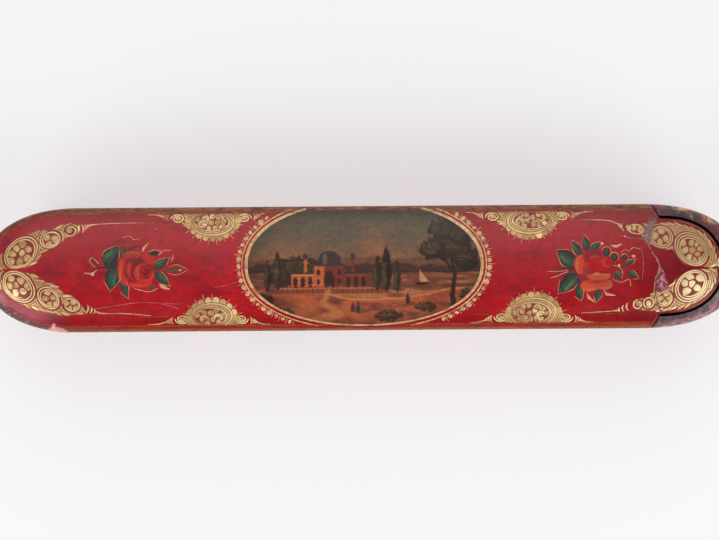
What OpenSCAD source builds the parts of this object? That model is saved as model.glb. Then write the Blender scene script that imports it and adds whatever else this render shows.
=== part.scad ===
// Qalamdan: a pen box of lacquered papier-mache, with a drawer that slides out of its sleeve.
// Millimetres. +X points to the drawer's head and +Z is up.
// The origin is on the ground, under the middle of the closed box.

/* [Case] */
// Overall length of the closed box
case_l = 232; // [210:1:270]
// Overall width
case_w = 38; // [35:0.5:50]
// Overall height
case_h = 37; // [35:0.5:48]
// Length of each rounded end
end_l = 29.5; // [25:0.5:36]
// Roundness of the ends in plan, where 2 is an ellipse
end_power = 2.2; // [2:0.1:2.8]
// Height of the roll from the side walls up to the crown
crown_rise = 10; // [7:0.5:12]
// Roundness of the crown's section, where 2 is an ellipse
crown_power = 2.6; // [2.2:0.1:3.2]
// Radius of the edge round the base
foot_r = 3; // [1.5:0.25:4.5]
// Thickness of the sleeve's side walls and floor
wall = 2.4; // [1.8:0.1:3]
// Thickness of the sleeve's roof at the crown, and so of the tongue
roof_t = 2.2; // [1.6:0.1:3]

/* [Tongue and seam] */
// Length of the drawer's head, from the seam at the sides to the tip
head_l = 28.2; // [25:0.1:32]
// How far the seam slants towards the tip between the sides and the tongue
seam_slant = 2; // [0.5:0.25:4]
// Gap of the seam between the sleeve and the head
seam_gap = 0.35; // [0.2:0.05:0.8]
// Length of the tongue
tongue_l = 18.7; // [15:0.1:21]
// Width of the tongue at its root
tongue_w = 29; // [24:0.5:31]
// Roundness of the tongue's outline, where 2 is an ellipse
tongue_power = 2.3; // [2:0.1:2.8]
// Gap between the tongue and the recess in the head
tongue_gap = 0.8; // [0.4:0.1:1.2]

/* [Drawer] */
// Sliding clearance between the tray and the sleeve
slide_gap = 0.4; // [0.2:0.05:0.7]
// Thickness of the tray's walls
tray_wall = 2; // [1.4:0.1:2.6]
// Thickness of the tray's floor
tray_floor = 2; // [1.4:0.1:3]
// How far the tray's rim stays below the sleeve's shoulder
rim_drop = 2; // [1:0.5:6]
// Thickness of the head beyond the tray's end
head_end_t = 5; // [4:0.1:6]
// Clearance of the head's underside above the ground
head_lift = 0.2; // [0.1:0.05:0.5]
// Thickness of the partition between the pens and the inkwell
partition_t = 1.6; // [1:0.1:2.4]
// Height of the partition above the tray's floor
partition_h = 12; // [8:0.5:16]

/* [Inkwell] */
// Length of the inkwell along the middle of the box
ink_l = 28; // [25:0.5:33]
// Height of the inkwell's cup
ink_h = 9.5; // [7.5:0.5:11]
// Thickness of the brass sheet
sheet_t = 0.8; // [0.6:0.1:1.2]
// Clearance between the inkwell and its bay, and between the wad and the cup
ink_gap = 0.3; // [0.15:0.05:0.6]
// Bore of the mouth
mouth_d = 12; // [9:0.5:13]
// Height of the neck round the mouth
neck_h = 1.2; // [0.8:0.1:2]
// Thickness of the neck's wall
neck_t = 1; // [0.6:0.1:1.4]
// Thickness of the lid at its edge
lid_t = 0.9; // [0.6:0.1:1.4]
// Rise of the lid's dome above its edge
lid_rise = 1.2; // [0.6:0.1:2]
// How far the lid's edge stands out over the neck
lid_over = 0.4; // [0:0.1:0.8]
// Clearance of the closed lid above the neck
lid_gap = 0.1; // [0.05:0.05:0.3]
// Height of the silk wad in the cup
wad_h = 4; // [2.5:0.25:5]

/* [Lid hinge and knob] */
// Diameter of the hinge pin
pin_d = 1; // [0.8:0.1:1.4]
// Radial running clearance of the lid's knuckle on the pin
hinge_gap = 0.05; // [0.02:0.01:0.1]
// Diameter of the hinge knuckles
knuckle_d = 2.2; // [2:0.1:2.8]
// Length of each hinge knuckle
knuckle_l = 3; // [2:0.25:4]
// Gap between neighbouring knuckles
knuckle_gap = 0.15; // [0.1:0.05:0.4]
// Gap between the knuckles and the edge of the lid
hinge_clear = 0.3; // [0.2:0.05:0.8]
// Diameter of the ball on the lid
knob_d = 3; // [2.4:0.1:4]
// Diameter of the collar under the ball
collar_d = 3.8; // [3:0.1:5]
// Height of the collar
collar_h = 0.8; // [0.5:0.1:1.2]
// How far the collar beds into the lid, and the ball into the collar
knob_sink = 0.2; // [0.1:0.05:0.3]
// Diameter of the knob's shank, which is riveted through the lid
shank_d = 1.2; // [0.8:0.1:1.6]

/* [Reed pens] */
// Diameter of a pen
pen_d = 7.6; // [6:0.2:8]
// Bore of a pen
pen_bore_d = 4.4; // [3:0.2:5]
// Length of the nib's scooped cut
nib_l = 24; // [16:1:30]
// Length of the nib's flat point
point_l = 8; // [5:0.5:12]
// Width of the nib at its point
nib_w = 3; // [2:0.25:4]
// Thickness of the nib at its point
nib_t = 1.2; // [0.8:0.1:1.5]
// Length of the nib's slit
slit_l = 9; // [5:0.5:12]
// Width of the nib's slit
slit_t = 0.3; // [0.2:0.05:0.5]
// Slant of the nib's point, in degrees
nib_slant = 25; // [0:5:40]
// Play between the pens and the partition
pen_play = 4; // [2:0.5:10]
// How far the pens reach into the tray's rounded end
pen_tail = 4; // [0:0.5:6]
// Clearance of the pens above the tray's floor
pen_lift = 0.15; // [0.1:0.05:0.3]

/* [Hidden] */
$fn = 48;

// Steps along a quarter of an outline, round the foot and up the crown
curve_n = 14;
foot_n = 4;
crown_n = 12;
// Last angle up the crown, and the share of the outline that is flat beyond it
crown_stop = 76;
crown_flat = 0.12;
// Pens side by side, one for each node
pen_count = 3;
// Overlap that carries a cut past the face it opens
past = 1;

half_l = case_l / 2;
half_w = case_w / 2;
// Where the straight sides end and the rounded ends begin
mid_x = half_l - end_l;
shoulder_z = case_h - crown_rise;
// Seam at the sides, and at the tongue's root
seam_x = half_l - head_l;
root_x = seam_x + seam_slant;
// Hollow of the sleeve: half width and reach of its rounded ends
hollow_w = half_w - wall;
hollow_end = end_l - wall;
// Tray: half width, reach of each rounded end, and levels
tray_w = hollow_w - slide_gap;
tray_back = hollow_end - slide_gap;
tray_front = end_l - head_end_t;
tray_z = wall + slide_gap;
floor_z = tray_z + tray_floor;
rim_z = shoulder_z - rim_drop;
// Inside of the tray
bay_w = tray_w - tray_wall;
bay_back = tray_back - tray_wall;
bay_front = tray_front - tray_wall;
// Inkwell: half width, reach of its round end, flat back and levels
ink_w = bay_w - ink_gap;
ink_front = bay_front - ink_gap;
ink_x = mid_x + ink_front - ink_l;
ink_top_z = floor_z + ink_h;
plate_z = ink_top_z + sheet_t;
lid_z = plate_z + neck_h + lid_gap;
lid_r = mouth_d / 2 + neck_t + lid_over;
dome_z = lid_z + lid_t + lid_rise;
// The partition stands just behind the inkwell
partition_x = ink_x - ink_gap - partition_t;
// Hinge axis, level with the middle of the lid's edge, and the lid's centre beyond it
hinge_x = ink_x + sheet_t + knuckle_d / 2;
hinge_z = lid_z + lid_t / 2;
lid_x = hinge_x + knuckle_d / 2 + hinge_clear + lid_r;
knuckle_pitch = knuckle_l + knuckle_gap;
// Pens: where they start, their length, spacing and height
pen_x = -mid_x - pen_tail;
pen_l = partition_x - pen_play - pen_x;
pen_pitch = 2 * bay_w / pen_count;
pen_z = floor_z + pen_lift + pen_d / 2;

function signed_power(v, e) = sign(v) * pow(abs(v), e);

// Half of a superellipse that bulges towards +X, from its lowest point to its highest
function bulge(reach, half, power) = [
    for (i = [0 : 2 * curve_n])
        let (t = 90 * (i / curve_n - 1))
        [reach * signed_power(max(cos(t), 0), 2 / power), half * signed_power(sin(t), 2 / power)]
];

// Closed outline in plan with a rounded end at each side
function plan(back, front, half) = concat(
    [for (p = bulge(front, half, end_power)) [mid_x + p[0], p[1]]],
    [for (p = bulge(back, half, end_power)) [-mid_x - p[0], -p[1]]]
);

// Edge round the base, as steps of [share of the outline, height]
function foot_section() = [
    for (i = [0 : foot_n])
        let (t = 90 * i / foot_n)
        [1 - foot_r * (1 - sin(t)) / half_w, foot_r * (1 - cos(t))]
];

// Roll of the crown from the shoulder up, as steps of the same kind
function crown_section(rise) = concat(
    [
        for (i = [0 : crown_n])
            let (t = crown_stop * i / crown_n)
            [pow(cos(t), 2 / crown_power), shoulder_z + rise * pow(sin(t), 2 / crown_power)]
    ],
    [[crown_flat, shoulder_z + rise]]
);

// One ring of a rounded form: an outline drawn in towards the middle line
function drawn_in(outline, share, z) = [
    for (p = outline)
        let (axis_x = min(max(p[0], -mid_x), mid_x))
        [axis_x + share * (p[0] - axis_x), share * p[1], z]
];

// Solid through the rings that a section makes of an outline
module ringed_form(outline, section) {
    n = len(outline);
    last = len(section) - 1;
    points = [for (s = section, p = drawn_in(outline, s[0], s[1])) p];
    base = [for (i = [0 : n - 1]) i];
    sides = [
        for (k = [0 : last - 1], i = [0 : n - 1])
            [k * n + i, (k + 1) * n + i, (k + 1) * n + (i + 1) % n, k * n + (i + 1) % n]
    ];
    crown = [for (i = [n - 1 : -1 : 0]) last * n + i];
    polyhedron(points = points, faces = concat([base], sides, [crown]));
}

// Outer form of the whole closed box
module case_form() {
    ringed_form(plan(end_l, end_l, half_w), concat(foot_section(), crown_section(crown_rise)));
}

// Plan of everything on one side of the seam, which is moved by a gap
module seam_plan(far_x, gap) {
    polygon([
        [far_x, -case_w],
        [seam_x + gap, -case_w],
        [seam_x + gap, -half_w],
        [root_x + gap, -tongue_w / 2],
        [root_x + gap, tongue_w / 2],
        [seam_x + gap, half_w],
        [seam_x + gap, case_w],
        [far_x, case_w]
    ]);
}

// Plan of the tongue, grown by a gap and carried back past the seam
module tongue_plan(gap) {
    half = tongue_w / 2 + gap;
    outline = [for (p = bulge(tongue_l + gap, half, tongue_power)) [root_x + p[0], p[1]]];
    polygon(concat([[seam_x - past, -half]], outline, [[seam_x - past, half]]));
}

// Hollow of the sleeve: it follows the outer form, and below the shoulder it is open at the front
module sleeve_hollow() {
    roof = crown_section(crown_rise - roof_t);
    ringed_form(plan(hollow_end, hollow_end, hollow_w), concat([[1, wall]], roof));
    translate([0, -hollow_w, wall]) cube([case_l, 2 * hollow_w, shoulder_z - wall]);
}

// Sleeve of papier-mache: closed and rounded at the back, with the tongue over its mouth
module sleeve_shell() {
    color([0.62, 0.12, 0.12])
        difference() {
            intersection() {
                case_form();
                union() {
                    linear_extrude(case_h + past) seam_plan(-case_l, 0);
                    translate([0, 0, case_h / 2]) linear_extrude(case_h) tongue_plan(0);
                }
            }
            sleeve_hollow();
        }
}

// Solid form of the tray, before it is hollowed
module tray_form() {
    translate([0, 0, tray_z]) linear_extrude(rim_z - tray_z) polygon(plan(tray_back, tray_front, tray_w));
}

// Trough that carries the inkwell and the pens
module drawer_tray() {
    color([0.45, 0.1, 0.08])
        difference() {
            tray_form();
            translate([0, 0, floor_z]) linear_extrude(case_h) polygon(plan(bay_back, bay_front, bay_w));
        }
}

// Head glued round the tray's front end: the rest of the outer form, recessed for the tongue
module drawer_head() {
    color([0.42, 0.12, 0.13])
        difference() {
            intersection() {
                case_form();
                translate([0, 0, head_lift]) linear_extrude(case_h) seam_plan(case_l, seam_gap);
            }
            tray_form();
            translate([0, 0, rim_z]) linear_extrude(case_h) tongue_plan(tongue_gap);
        }
}

// Cross wall glued into the tray between the pens and the inkwell
module inkwell_partition() {
    color([0.45, 0.1, 0.08])
        translate([partition_x, -bay_w, floor_z]) cube([partition_t, 2 * bay_w, partition_h]);
}

// Plan of the inkwell, flat at the back and round at the front, drawn in by an inset
module ink_plan(inset) {
    half = ink_w - inset;
    front = [for (p = bulge(ink_front - inset, half, end_power)) [mid_x + p[0], p[1]]];
    polygon(concat([[ink_x + inset, -half]], front, [[ink_x + inset, half]]));
}

// Brass cup that holds the ink
module inkwell_cup() {
    color([0.72, 0.55, 0.25])
        difference() {
            translate([0, 0, floor_z]) linear_extrude(ink_h) ink_plan(0);
            translate([0, 0, floor_z + sheet_t]) linear_extrude(ink_h) ink_plan(sheet_t);
        }
}

// Round bar on the hinge axis, centred at a place along Y
module hinge_bar(d, l, y) {
    translate([hinge_x, y - l / 2, hinge_z]) rotate([-90, 0, 0]) cylinder(d = d, h = l);
}

// Brass plate soldered on the cup, with the neck and the two fixed knuckles on their feet
module inkwell_top() {
    foot_h = hinge_z - plate_z;
    color([0.74, 0.57, 0.27])
        difference() {
            union() {
                translate([0, 0, ink_top_z]) linear_extrude(sheet_t) ink_plan(0);
                translate([lid_x, 0, ink_top_z]) cylinder(d = mouth_d + 2 * neck_t, h = sheet_t + neck_h);
                for (y = [-knuckle_pitch, knuckle_pitch]) {
                    hinge_bar(knuckle_d, knuckle_l, y);
                    translate([hinge_x - knuckle_d / 2, y - knuckle_l / 2, plate_z])
                        cube([knuckle_d, knuckle_l, foot_h]);
                }
            }
            translate([lid_x, 0, ink_top_z - past]) cylinder(d = mouth_d, h = sheet_t + neck_h + 2 * past);
            hinge_bar(pin_d, case_w, 0);
        }
}

// Pin through the three knuckles
module inkwell_hinge_pin() {
    color([0.5, 0.4, 0.22]) hinge_bar(pin_d, 2 * knuckle_pitch + knuckle_l, 0);
}

// Wad of silk floss that holds the ink
module ink_wad() {
    color([0.06, 0.05, 0.06])
        translate([0, 0, floor_z + sheet_t]) linear_extrude(wad_h) ink_plan(sheet_t + ink_gap);
}

// Domed lid with the middle knuckle
module inkwell_lid() {
    dome = [
        for (i = [0 : curve_n])
            let (t = 90 * i / curve_n)
            [lid_r * cos(t), lid_t + lid_rise * sin(t)]
    ];
    color([0.76, 0.6, 0.3])
        difference() {
            union() {
                translate([lid_x, 0, lid_z]) rotate_extrude() polygon(concat([[0, 0], [lid_r, 0]], dome));
                translate([hinge_x, -knuckle_l / 2, lid_z]) cube([lid_x - hinge_x, knuckle_l, lid_t]);
                hinge_bar(knuckle_d, knuckle_l, 0);
            }
            hinge_bar(pin_d + 2 * hinge_gap, knuckle_l + 2 * past, 0);
            translate([lid_x, 0, lid_z - past]) cylinder(d = shank_d, h = dome_z - lid_z + 2 * past);
        }
}

// Turned knob, riveted through the middle of the lid
module lid_knob() {
    collar_z = dome_z - knob_sink;
    color([0.78, 0.62, 0.32])
        translate([lid_x, 0, 0])
            union() {
                translate([0, 0, lid_z]) cylinder(d = shank_d, h = dome_z - lid_z);
                translate([0, 0, collar_z]) cylinder(d = collar_d, h = collar_h);
                translate([0, 0, collar_z + collar_h + knob_d / 2 - knob_sink]) sphere(d = knob_d);
            }
}

// Radius of the round cut that ends level after a run and has then gone in by a depth
function cut_radius(run, depth) = (run * run + depth * depth) / (2 * depth);

// Reed pen along X, with its nib at the far end scooped, narrowed, slit and cut on a slant
module reed_pen(place) {
    r = pen_d / 2;
    scoop_l = nib_l - point_l;
    scoop_r = cut_radius(scoop_l, pen_d - nib_t);
    waist_r = cut_radius(scoop_l / 2, r - nib_w / 2);
    point_x = pen_l - point_l;
    color([0.6, 0.4, 0.2])
        translate([pen_x, (place - (pen_count - 1) / 2) * pen_pitch, pen_z])
            difference() {
                rotate([0, 90, 0]) cylinder(d = pen_d, h = pen_l);
                translate([-past, 0, 0]) rotate([0, 90, 0]) cylinder(d = pen_bore_d, h = pen_l + 2 * past);
                // Scoop over the nib
                translate([point_x, -pen_d, scoop_r + nib_t - r])
                    rotate([-90, 0, 0]) cylinder(r = scoop_r, h = 2 * pen_d);
                translate([point_x, -pen_d, nib_t - r]) cube([nib_l, 2 * pen_d, pen_d]);
                // Shoulders at each side of the nib
                for (side = [-1, 1]) {
                    translate([point_x, side * (nib_w / 2 + waist_r), -pen_d])
                        cylinder(r = waist_r, h = 2 * pen_d);
                    translate([point_x, side * (nib_w + pen_d) / 2 - pen_d / 2, -pen_d])
                        cube([nib_l, pen_d, 2 * pen_d]);
                }
                // Slit and slanted point
                translate([pen_l - slit_l, -slit_t / 2, -pen_d]) cube([nib_l, slit_t, 2 * pen_d]);
                translate([pen_l, nib_w / 2, -pen_d])
                    rotate([0, 0, nib_slant]) translate([0, -pen_d, 0]) cube([pen_d, 2 * pen_d, 2 * pen_d]);
            }
}

sleeve_shell();
drawer_tray();
drawer_head();
inkwell_partition();
inkwell_cup();
inkwell_top();
inkwell_hinge_pin();
ink_wad();
inkwell_lid();
lid_knob();
reed_pen(0);  // reed_pen_1
reed_pen(1);  // reed_pen_2
reed_pen(2);  // reed_pen_3
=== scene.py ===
import math

import bmesh
import bpy
import numpy as np
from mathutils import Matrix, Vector


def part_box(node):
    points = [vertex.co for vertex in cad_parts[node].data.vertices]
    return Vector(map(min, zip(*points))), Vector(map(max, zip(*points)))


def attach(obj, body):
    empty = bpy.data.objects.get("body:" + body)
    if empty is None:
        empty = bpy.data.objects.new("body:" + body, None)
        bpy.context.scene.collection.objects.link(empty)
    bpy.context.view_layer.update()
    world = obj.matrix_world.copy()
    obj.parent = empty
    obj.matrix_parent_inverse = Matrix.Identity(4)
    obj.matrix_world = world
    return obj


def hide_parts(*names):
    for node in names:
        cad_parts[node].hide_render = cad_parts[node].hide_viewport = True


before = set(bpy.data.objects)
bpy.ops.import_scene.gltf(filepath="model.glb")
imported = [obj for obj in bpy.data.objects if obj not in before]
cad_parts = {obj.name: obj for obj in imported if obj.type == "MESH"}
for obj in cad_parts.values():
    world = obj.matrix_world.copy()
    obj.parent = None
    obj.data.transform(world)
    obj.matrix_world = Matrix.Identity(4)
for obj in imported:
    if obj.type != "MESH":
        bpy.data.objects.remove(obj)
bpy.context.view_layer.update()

# Lengths in this script are millimetres unless a name says otherwise

MM = 0.001
FAR = 1e3


def node_box(name):
    """Lowest and highest corner of a solid."""
    return [np.array(corner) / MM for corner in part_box(name)]


sleeve_high = node_box("sleeve_shell")[1]
head_low, head_high = node_box("drawer_head")
wad_low, wad_high = node_box("ink_wad")

# Shape of the case, as in the part's source

HALF_L = head_high[0]
HALF_W = sleeve_high[1]
CASE_H = sleeve_high[2]
END_L = 29.5
END_POWER = 2.2
CROWN_RISE = 10.0
CROWN_POWER = 2.6
FOOT_R = 3.0
WALL = 2.4
ROOF_T = 2.2
TONGUE_L = 18.7
TONGUE_W = 29.0
TONGUE_POWER = 2.3
SEAM_SLANT = 2.0
SEAM_CLEAR = 0.6
MID_X = HALF_L - END_L
SHOULDER_Z = CASE_H - CROWN_RISE
ROOT_X = sleeve_high[0] - TONGUE_L
SEAM_X = ROOT_X - SEAM_SLANT

OUTLINE_STEPS = 120
RIM_STEPS = 400
SLOPE_STEP = 0.02
OUTWARD_STEP = 0.6

rng = np.random.default_rng(7)


def srgb(r, g, b):
    """Linear colour of a display colour given from 0 to 255."""
    c = np.array([r, g, b]) / 255
    return np.where(c <= 0.04045, c / 12.92, ((c + 0.055) / 1.055) ** 2.4)


# Surfaces of the case

def oval_point(angle, rx, ry, power):
    """Point of a squarish oval round the origin, by the power of its outline."""
    c, s = np.cos(angle), np.sin(angle)
    return rx * np.sign(c) * np.abs(c) ** (2 / power), ry * np.sign(s) * np.abs(s) ** (2 / power)


def level_line(x, y):
    """Points at places along X, all at the same distance to the side."""
    return np.stack([x, np.full_like(x, y)], 1)


def run_along(path):
    """Distance along a path at each of its points."""
    return np.concatenate([[0], np.cumsum(np.linalg.norm(np.diff(path, axis=0), axis=1))])


def at_run(path, run, where):
    """Points of a path at distances along it."""
    return np.stack([np.interp(where, run, path[:, k]) for k in (0, 1)], -1)


def plan_share(x, y, end=END_L, half=HALF_W):
    """How far out a plan point lies: 0 on the middle line and 1 on the outline."""
    over = np.maximum(np.abs(x) - MID_X, 0) / end
    return (over ** END_POWER + (np.abs(y) / half) ** END_POWER) ** (1 / END_POWER)


def crown_z(x, y, inset=0.0, drop=0.0):
    """Height of the crown over a plan point, or of the hollow's roof under it."""
    share = np.clip(plan_share(x, y, END_L - inset, HALF_W - inset), 0, 1)
    return SHOULDER_Z + (CROWN_RISE - drop) * (1 - share ** CROWN_POWER) ** (1 / CROWN_POWER)


def on_crown(plan, height):
    """Points over the crown at a height along its normal."""
    x, y = plan[..., 0], plan[..., 1]
    step = SLOPE_STEP
    z = crown_z(x, y)
    slope_x = (crown_z(x + step, y) - crown_z(x - step, y)) / (2 * step)
    slope_y = (crown_z(x, y + step) - crown_z(x, y - step)) / (2 * step)
    length = np.sqrt(1 + slope_x ** 2 + slope_y ** 2)
    normal = np.stack([-slope_x, -slope_y, np.ones_like(z)], -1) / length[..., None]
    return np.stack([x, y, z], -1) + normal * np.broadcast_to(height, z.shape)[..., None]


def sleeve_outline():
    """Outline of the sleeve seen from above, from the seam on one side round the back to the other."""
    straight = np.linspace(SEAM_X, -MID_X, OUTLINE_STEPS)
    angles = np.linspace(math.pi / 2, -math.pi / 2, OUTLINE_STEPS + 1)[1:-1]
    reach, across = oval_point(angles, END_L, HALF_W, END_POWER)
    back = np.stack([-MID_X - reach, across], 1)
    return np.concatenate([level_line(straight, HALF_W), back, level_line(straight[::-1], -HALF_W)])


def head_outline():
    """Outline of the head seen from above, from the seam on the near side round the front to the far side."""
    start_x = head_low[0] + SEAM_CLEAR
    start = math.acos(((start_x - MID_X) / END_L) ** (END_POWER / 2))
    reach, across = oval_point(np.linspace(-start, start, OUTLINE_STEPS + 1), END_L, HALF_W, END_POWER)
    return np.stack([MID_X + reach, across], 1)


# Section of the rolled edge, from the shoulder up to the crown's middle

RIM_SHARE, RIM_RISE = oval_point(np.linspace(0, math.pi / 2, RIM_STEPS), 1.0, CROWN_RISE, CROWN_POWER)
RIM_RUN = run_along(np.stack([HALF_W * RIM_SHARE, RIM_RISE], 1))


class Edge:
    """Rolled edge and wall along an outline that runs anticlockwise, seen from above."""

    def __init__(self, outline):
        self.outline = outline
        self.run = run_along(outline)
        self.length = self.run[-1]

    def point(self, run):
        return at_run(self.outline, self.run, run)

    def outward(self, run):
        """Directions out of the outline, at distances along it."""
        ahead = self.point(np.minimum(run + OUTWARD_STEP, self.length))
        along = ahead - self.point(np.maximum(run - OUTWARD_STEP, 0))
        along /= np.linalg.norm(along, axis=-1, keepdims=True)
        return np.stack([along[..., 1], -along[..., 0]], -1)

    def near(self, x, y):
        """Distance along the outline of its point that is nearest to a plan point."""
        return self.run[np.argmin(np.hypot(self.outline[:, 0] - x, self.outline[:, 1] - y))]

    def over(self, flat, height):
        """Points over the edge: a distance along the outline and one down from the shoulder.

        Above the shoulder the second distance is less than zero."""
        point, outward = self.point(flat[..., 0]), self.outward(flat[..., 0])
        down = flat[..., 1]
        share = np.interp(-down, RIM_RUN, RIM_SHARE)
        rise = np.interp(-down, RIM_RUN, RIM_RISE)
        lean_out = share ** (CROWN_POWER - 1) / HALF_W
        lean_up = (rise / CROWN_RISE) ** (CROWN_POWER - 1) / CROWN_RISE
        lean = height / np.hypot(lean_out, lean_up)
        axis = np.stack([np.clip(point[..., 0], -MID_X, MID_X), np.zeros_like(down)], -1)
        plan = axis + share[..., None] * (point - axis) + outward * (lean * lean_out)[..., None]
        z = SHOULDER_Z + rise - np.maximum(down, 0) + lean * lean_up
        return np.concatenate([plan, z[..., None]], -1)


SLEEVE_EDGE = Edge(sleeve_outline())
HEAD_EDGE = Edge(head_outline())


# Meshes

def new_object(name, verts, faces, material, colours=None, merge=0.0):
    """Smooth mesh object, with painted colours where given."""
    mesh = bpy.data.meshes.new(name)
    mesh.from_pydata((np.asarray(verts) * MM).tolist(), [], [[int(v) for v in f] for f in faces])
    if colours is not None:
        layer = mesh.color_attributes.new("paint", "FLOAT_COLOR", "POINT")
        rgba = np.ones((len(colours), 4))
        rgba[:, :3] = colours
        layer.data.foreach_set("color", rgba.ravel())
    if merge:
        bm = bmesh.new()
        bm.from_mesh(mesh)
        bmesh.ops.remove_doubles(bm, verts=bm.verts, dist=merge * MM)
        bmesh.ops.dissolve_degenerate(bm, edges=bm.edges, dist=merge * MM)
        bmesh.ops.recalc_face_normals(bm, faces=bm.faces)
        bm.to_mesh(mesh)
        bm.free()
    mesh.shade_smooth()
    mesh.materials.append(material)
    obj = bpy.data.objects.new(name, mesh)
    bpy.context.scene.collection.objects.link(obj)
    return obj


def piece(obj, body, slot, *stands_for):
    """Says what a piece moves with and which solids it stands for. The slot argument, its finish, is not
    used.
    """
    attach(obj, body)
    if stands_for:
        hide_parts(*stands_for)


def grid_faces(rows, cols, flip=False):
    """Quads of a grid of points that is stored row by row."""
    i, j = np.meshgrid(np.arange(rows - 1), np.arange(cols - 1), indexing="ij")
    a = (i * cols + j).ravel()
    quads = np.stack([a, a + 1, a + cols + 1, a + cols], 1)
    return quads[:, ::-1] if flip else quads


# Materials

def feed(tree, socket, value):
    """Links a socket to another node's output, or sets it to a constant."""
    if isinstance(value, bpy.types.NodeSocket):
        tree.links.new(value, socket)
    else:
        socket.default_value = value


def add_node(tree, kind, inputs, **settings):
    """New node with its settings, and with its inputs by name or number."""
    node = tree.nodes.new("ShaderNode" + kind)
    for name, value in settings.items():
        setattr(node, name, value)
    for key, value in inputs.items():
        feed(tree, node.inputs[key], value)
    return node


class Look:
    """A material's nodes, with short calls for the ones used here. Colours are display colours.

    A share is a node's output, or a tuple of the values that grains takes."""

    def __init__(self, name):
        self.material = bpy.data.materials.new(name)
        self.material.use_nodes = True
        self.tree = self.material.node_tree
        self.shader = self.tree.nodes["Principled BSDF"]
        self.place = self.node("TexCoord", {}).outputs["Object"]

    def node(self, kind, inputs, **settings):
        return add_node(self.tree, kind, inputs, **settings)

    def set(self, name, value):
        feed(self.tree, self.shader.inputs[name], value)

    def stretched(self, sizes, centre=(0, 0, 0)):
        """Place from a centre, divided by a size along each axis."""
        scale = [1 / (size * MM) for size in sizes]
        shift = [-c / size for c, size in zip(centre, sizes)]
        inputs = {"Vector": self.place, "Location": shift, "Scale": scale}
        return self.node("Mapping", inputs).outputs["Vector"]

    def along(self, axis):
        """Place along an axis, in metres."""
        return self.node("SeparateXYZ", {"Vector": self.place}).outputs[axis]

    def noise(self, grain, detail=3.0, rough=0.55):
        """Cloudy value with grains of one size, or of a size along each axis."""
        sizes = grain if isinstance(grain, tuple) else (grain,) * 3
        inputs = {"Vector": self.stretched(sizes), "Scale": 1.0, "Detail": detail, "Roughness": rough}
        return self.node("TexNoise", inputs).outputs["Fac"]

    def cracks(self, cell, width):
        """Value of 1 along the edges of cells of a size, and 0 inside them."""
        inputs = {"Vector": self.stretched((cell,) * 3), "Scale": 1.0}
        cells = self.node("TexVoronoi", inputs, feature="DISTANCE_TO_EDGE")
        return self.level(cells.outputs["Distance"], width / cell, 0.0)

    def level(self, value, low, high, least=0.0, most=1.0):
        """Stretches the range from low to high onto another one."""
        inputs = {"Value": value, "From Min": low, "From Max": high, "To Min": least, "To Max": most}
        return self.node("MapRange", inputs).outputs["Result"]

    def grains(self, grain, low, high, most=1.0, detail=3.0, rough=0.55, least=0.0):
        """Cloudy share, from least to most between two levels of the noise."""
        return self.level(self.noise(grain, detail, rough), low, high, least, most)

    def slope(self, axis, start, stop, most=1.0, least=0.0):
        """Share from least to most between two places along an axis."""
        return self.level(self.along(axis), start * MM, stop * MM, least, most)

    def spot(self, centre, reach, solid, most=1.0, rim=1.0):
        """Share round a centre, which fades from a solid part of its reach out to its rim."""
        away = self.node("VectorMath", {0: self.stretched(reach, centre)}, operation="LENGTH")
        return self.level(away.outputs["Value"], rim, solid, 0.0, most)

    def math(self, operation, a, b):
        return self.node("Math", {0: a, 1: b}, operation=operation).outputs["Value"]

    def mix(self, colour, tone, *shares):
        """Lays a colour over another by the product of shares. Either can be a node's output."""
        factors = [self.grains(*share) if isinstance(share, tuple) else share for share in shares]
        factor = factors[0]
        for other in factors[1:]:
            factor = self.math("MULTIPLY", factor, other)
        node = self.node("Mix", {"Factor": factor}, data_type="RGBA")
        for socket, value in zip([s for s in node.inputs if s.type == "RGBA"], (colour, tone)):
            feed(self.tree, socket, (*srgb(*value), 1) if isinstance(value, tuple) else value)
        return next(s for s in node.outputs if s.type == "RGBA")

    def layers(self, colour, rows):
        """Lays colours over another in turn, each with its shares."""
        for tone, *shares in rows:
            colour = self.mix(colour, tone, *shares)
        return colour

    def painted(self):
        """Colour painted on the points of the mesh."""
        return self.node("Attribute", {}, attribute_name="paint").outputs["Color"]

    def finish(self, colour, rough, bump=None, metal=0.0, gloss=0.5):
        """Sets the shader: range and grain of the roughness, and strength, depth and grain of a relief."""
        least, most, *grain = rough
        self.set("Base Color", colour)
        self.set("Metallic", metal)
        self.set("Roughness", self.level(self.noise(*grain), 0.3, 0.7, least, most))
        self.set("Specular IOR Level", gloss)
        if bump:
            strength, depth, *grain = bump
            inputs = {"Strength": strength, "Distance": depth * MM, "Height": self.noise(*grain)}
            self.set("Normal", self.node("Bump", inputs).outputs["Normal"])
        return self.material


def scuffed(look, colour):
    """Grey scuff across the root of the tongue, worn through in patches."""
    patches = look.grains(0.9, 0.4, 0.56, 1, 4, 0.7)
    for place in ((87.6, 13.2, 33), (86.6, 11.0, 34), (86.0, 8.6, 35)):
        near = look.spot(place, (1.7, 2.4, 9), 0.35, 0.85)
        colour = look.layers(colour, (((96, 58, 60), near), ((140, 112, 108), near, patches)))
    return colour


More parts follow.
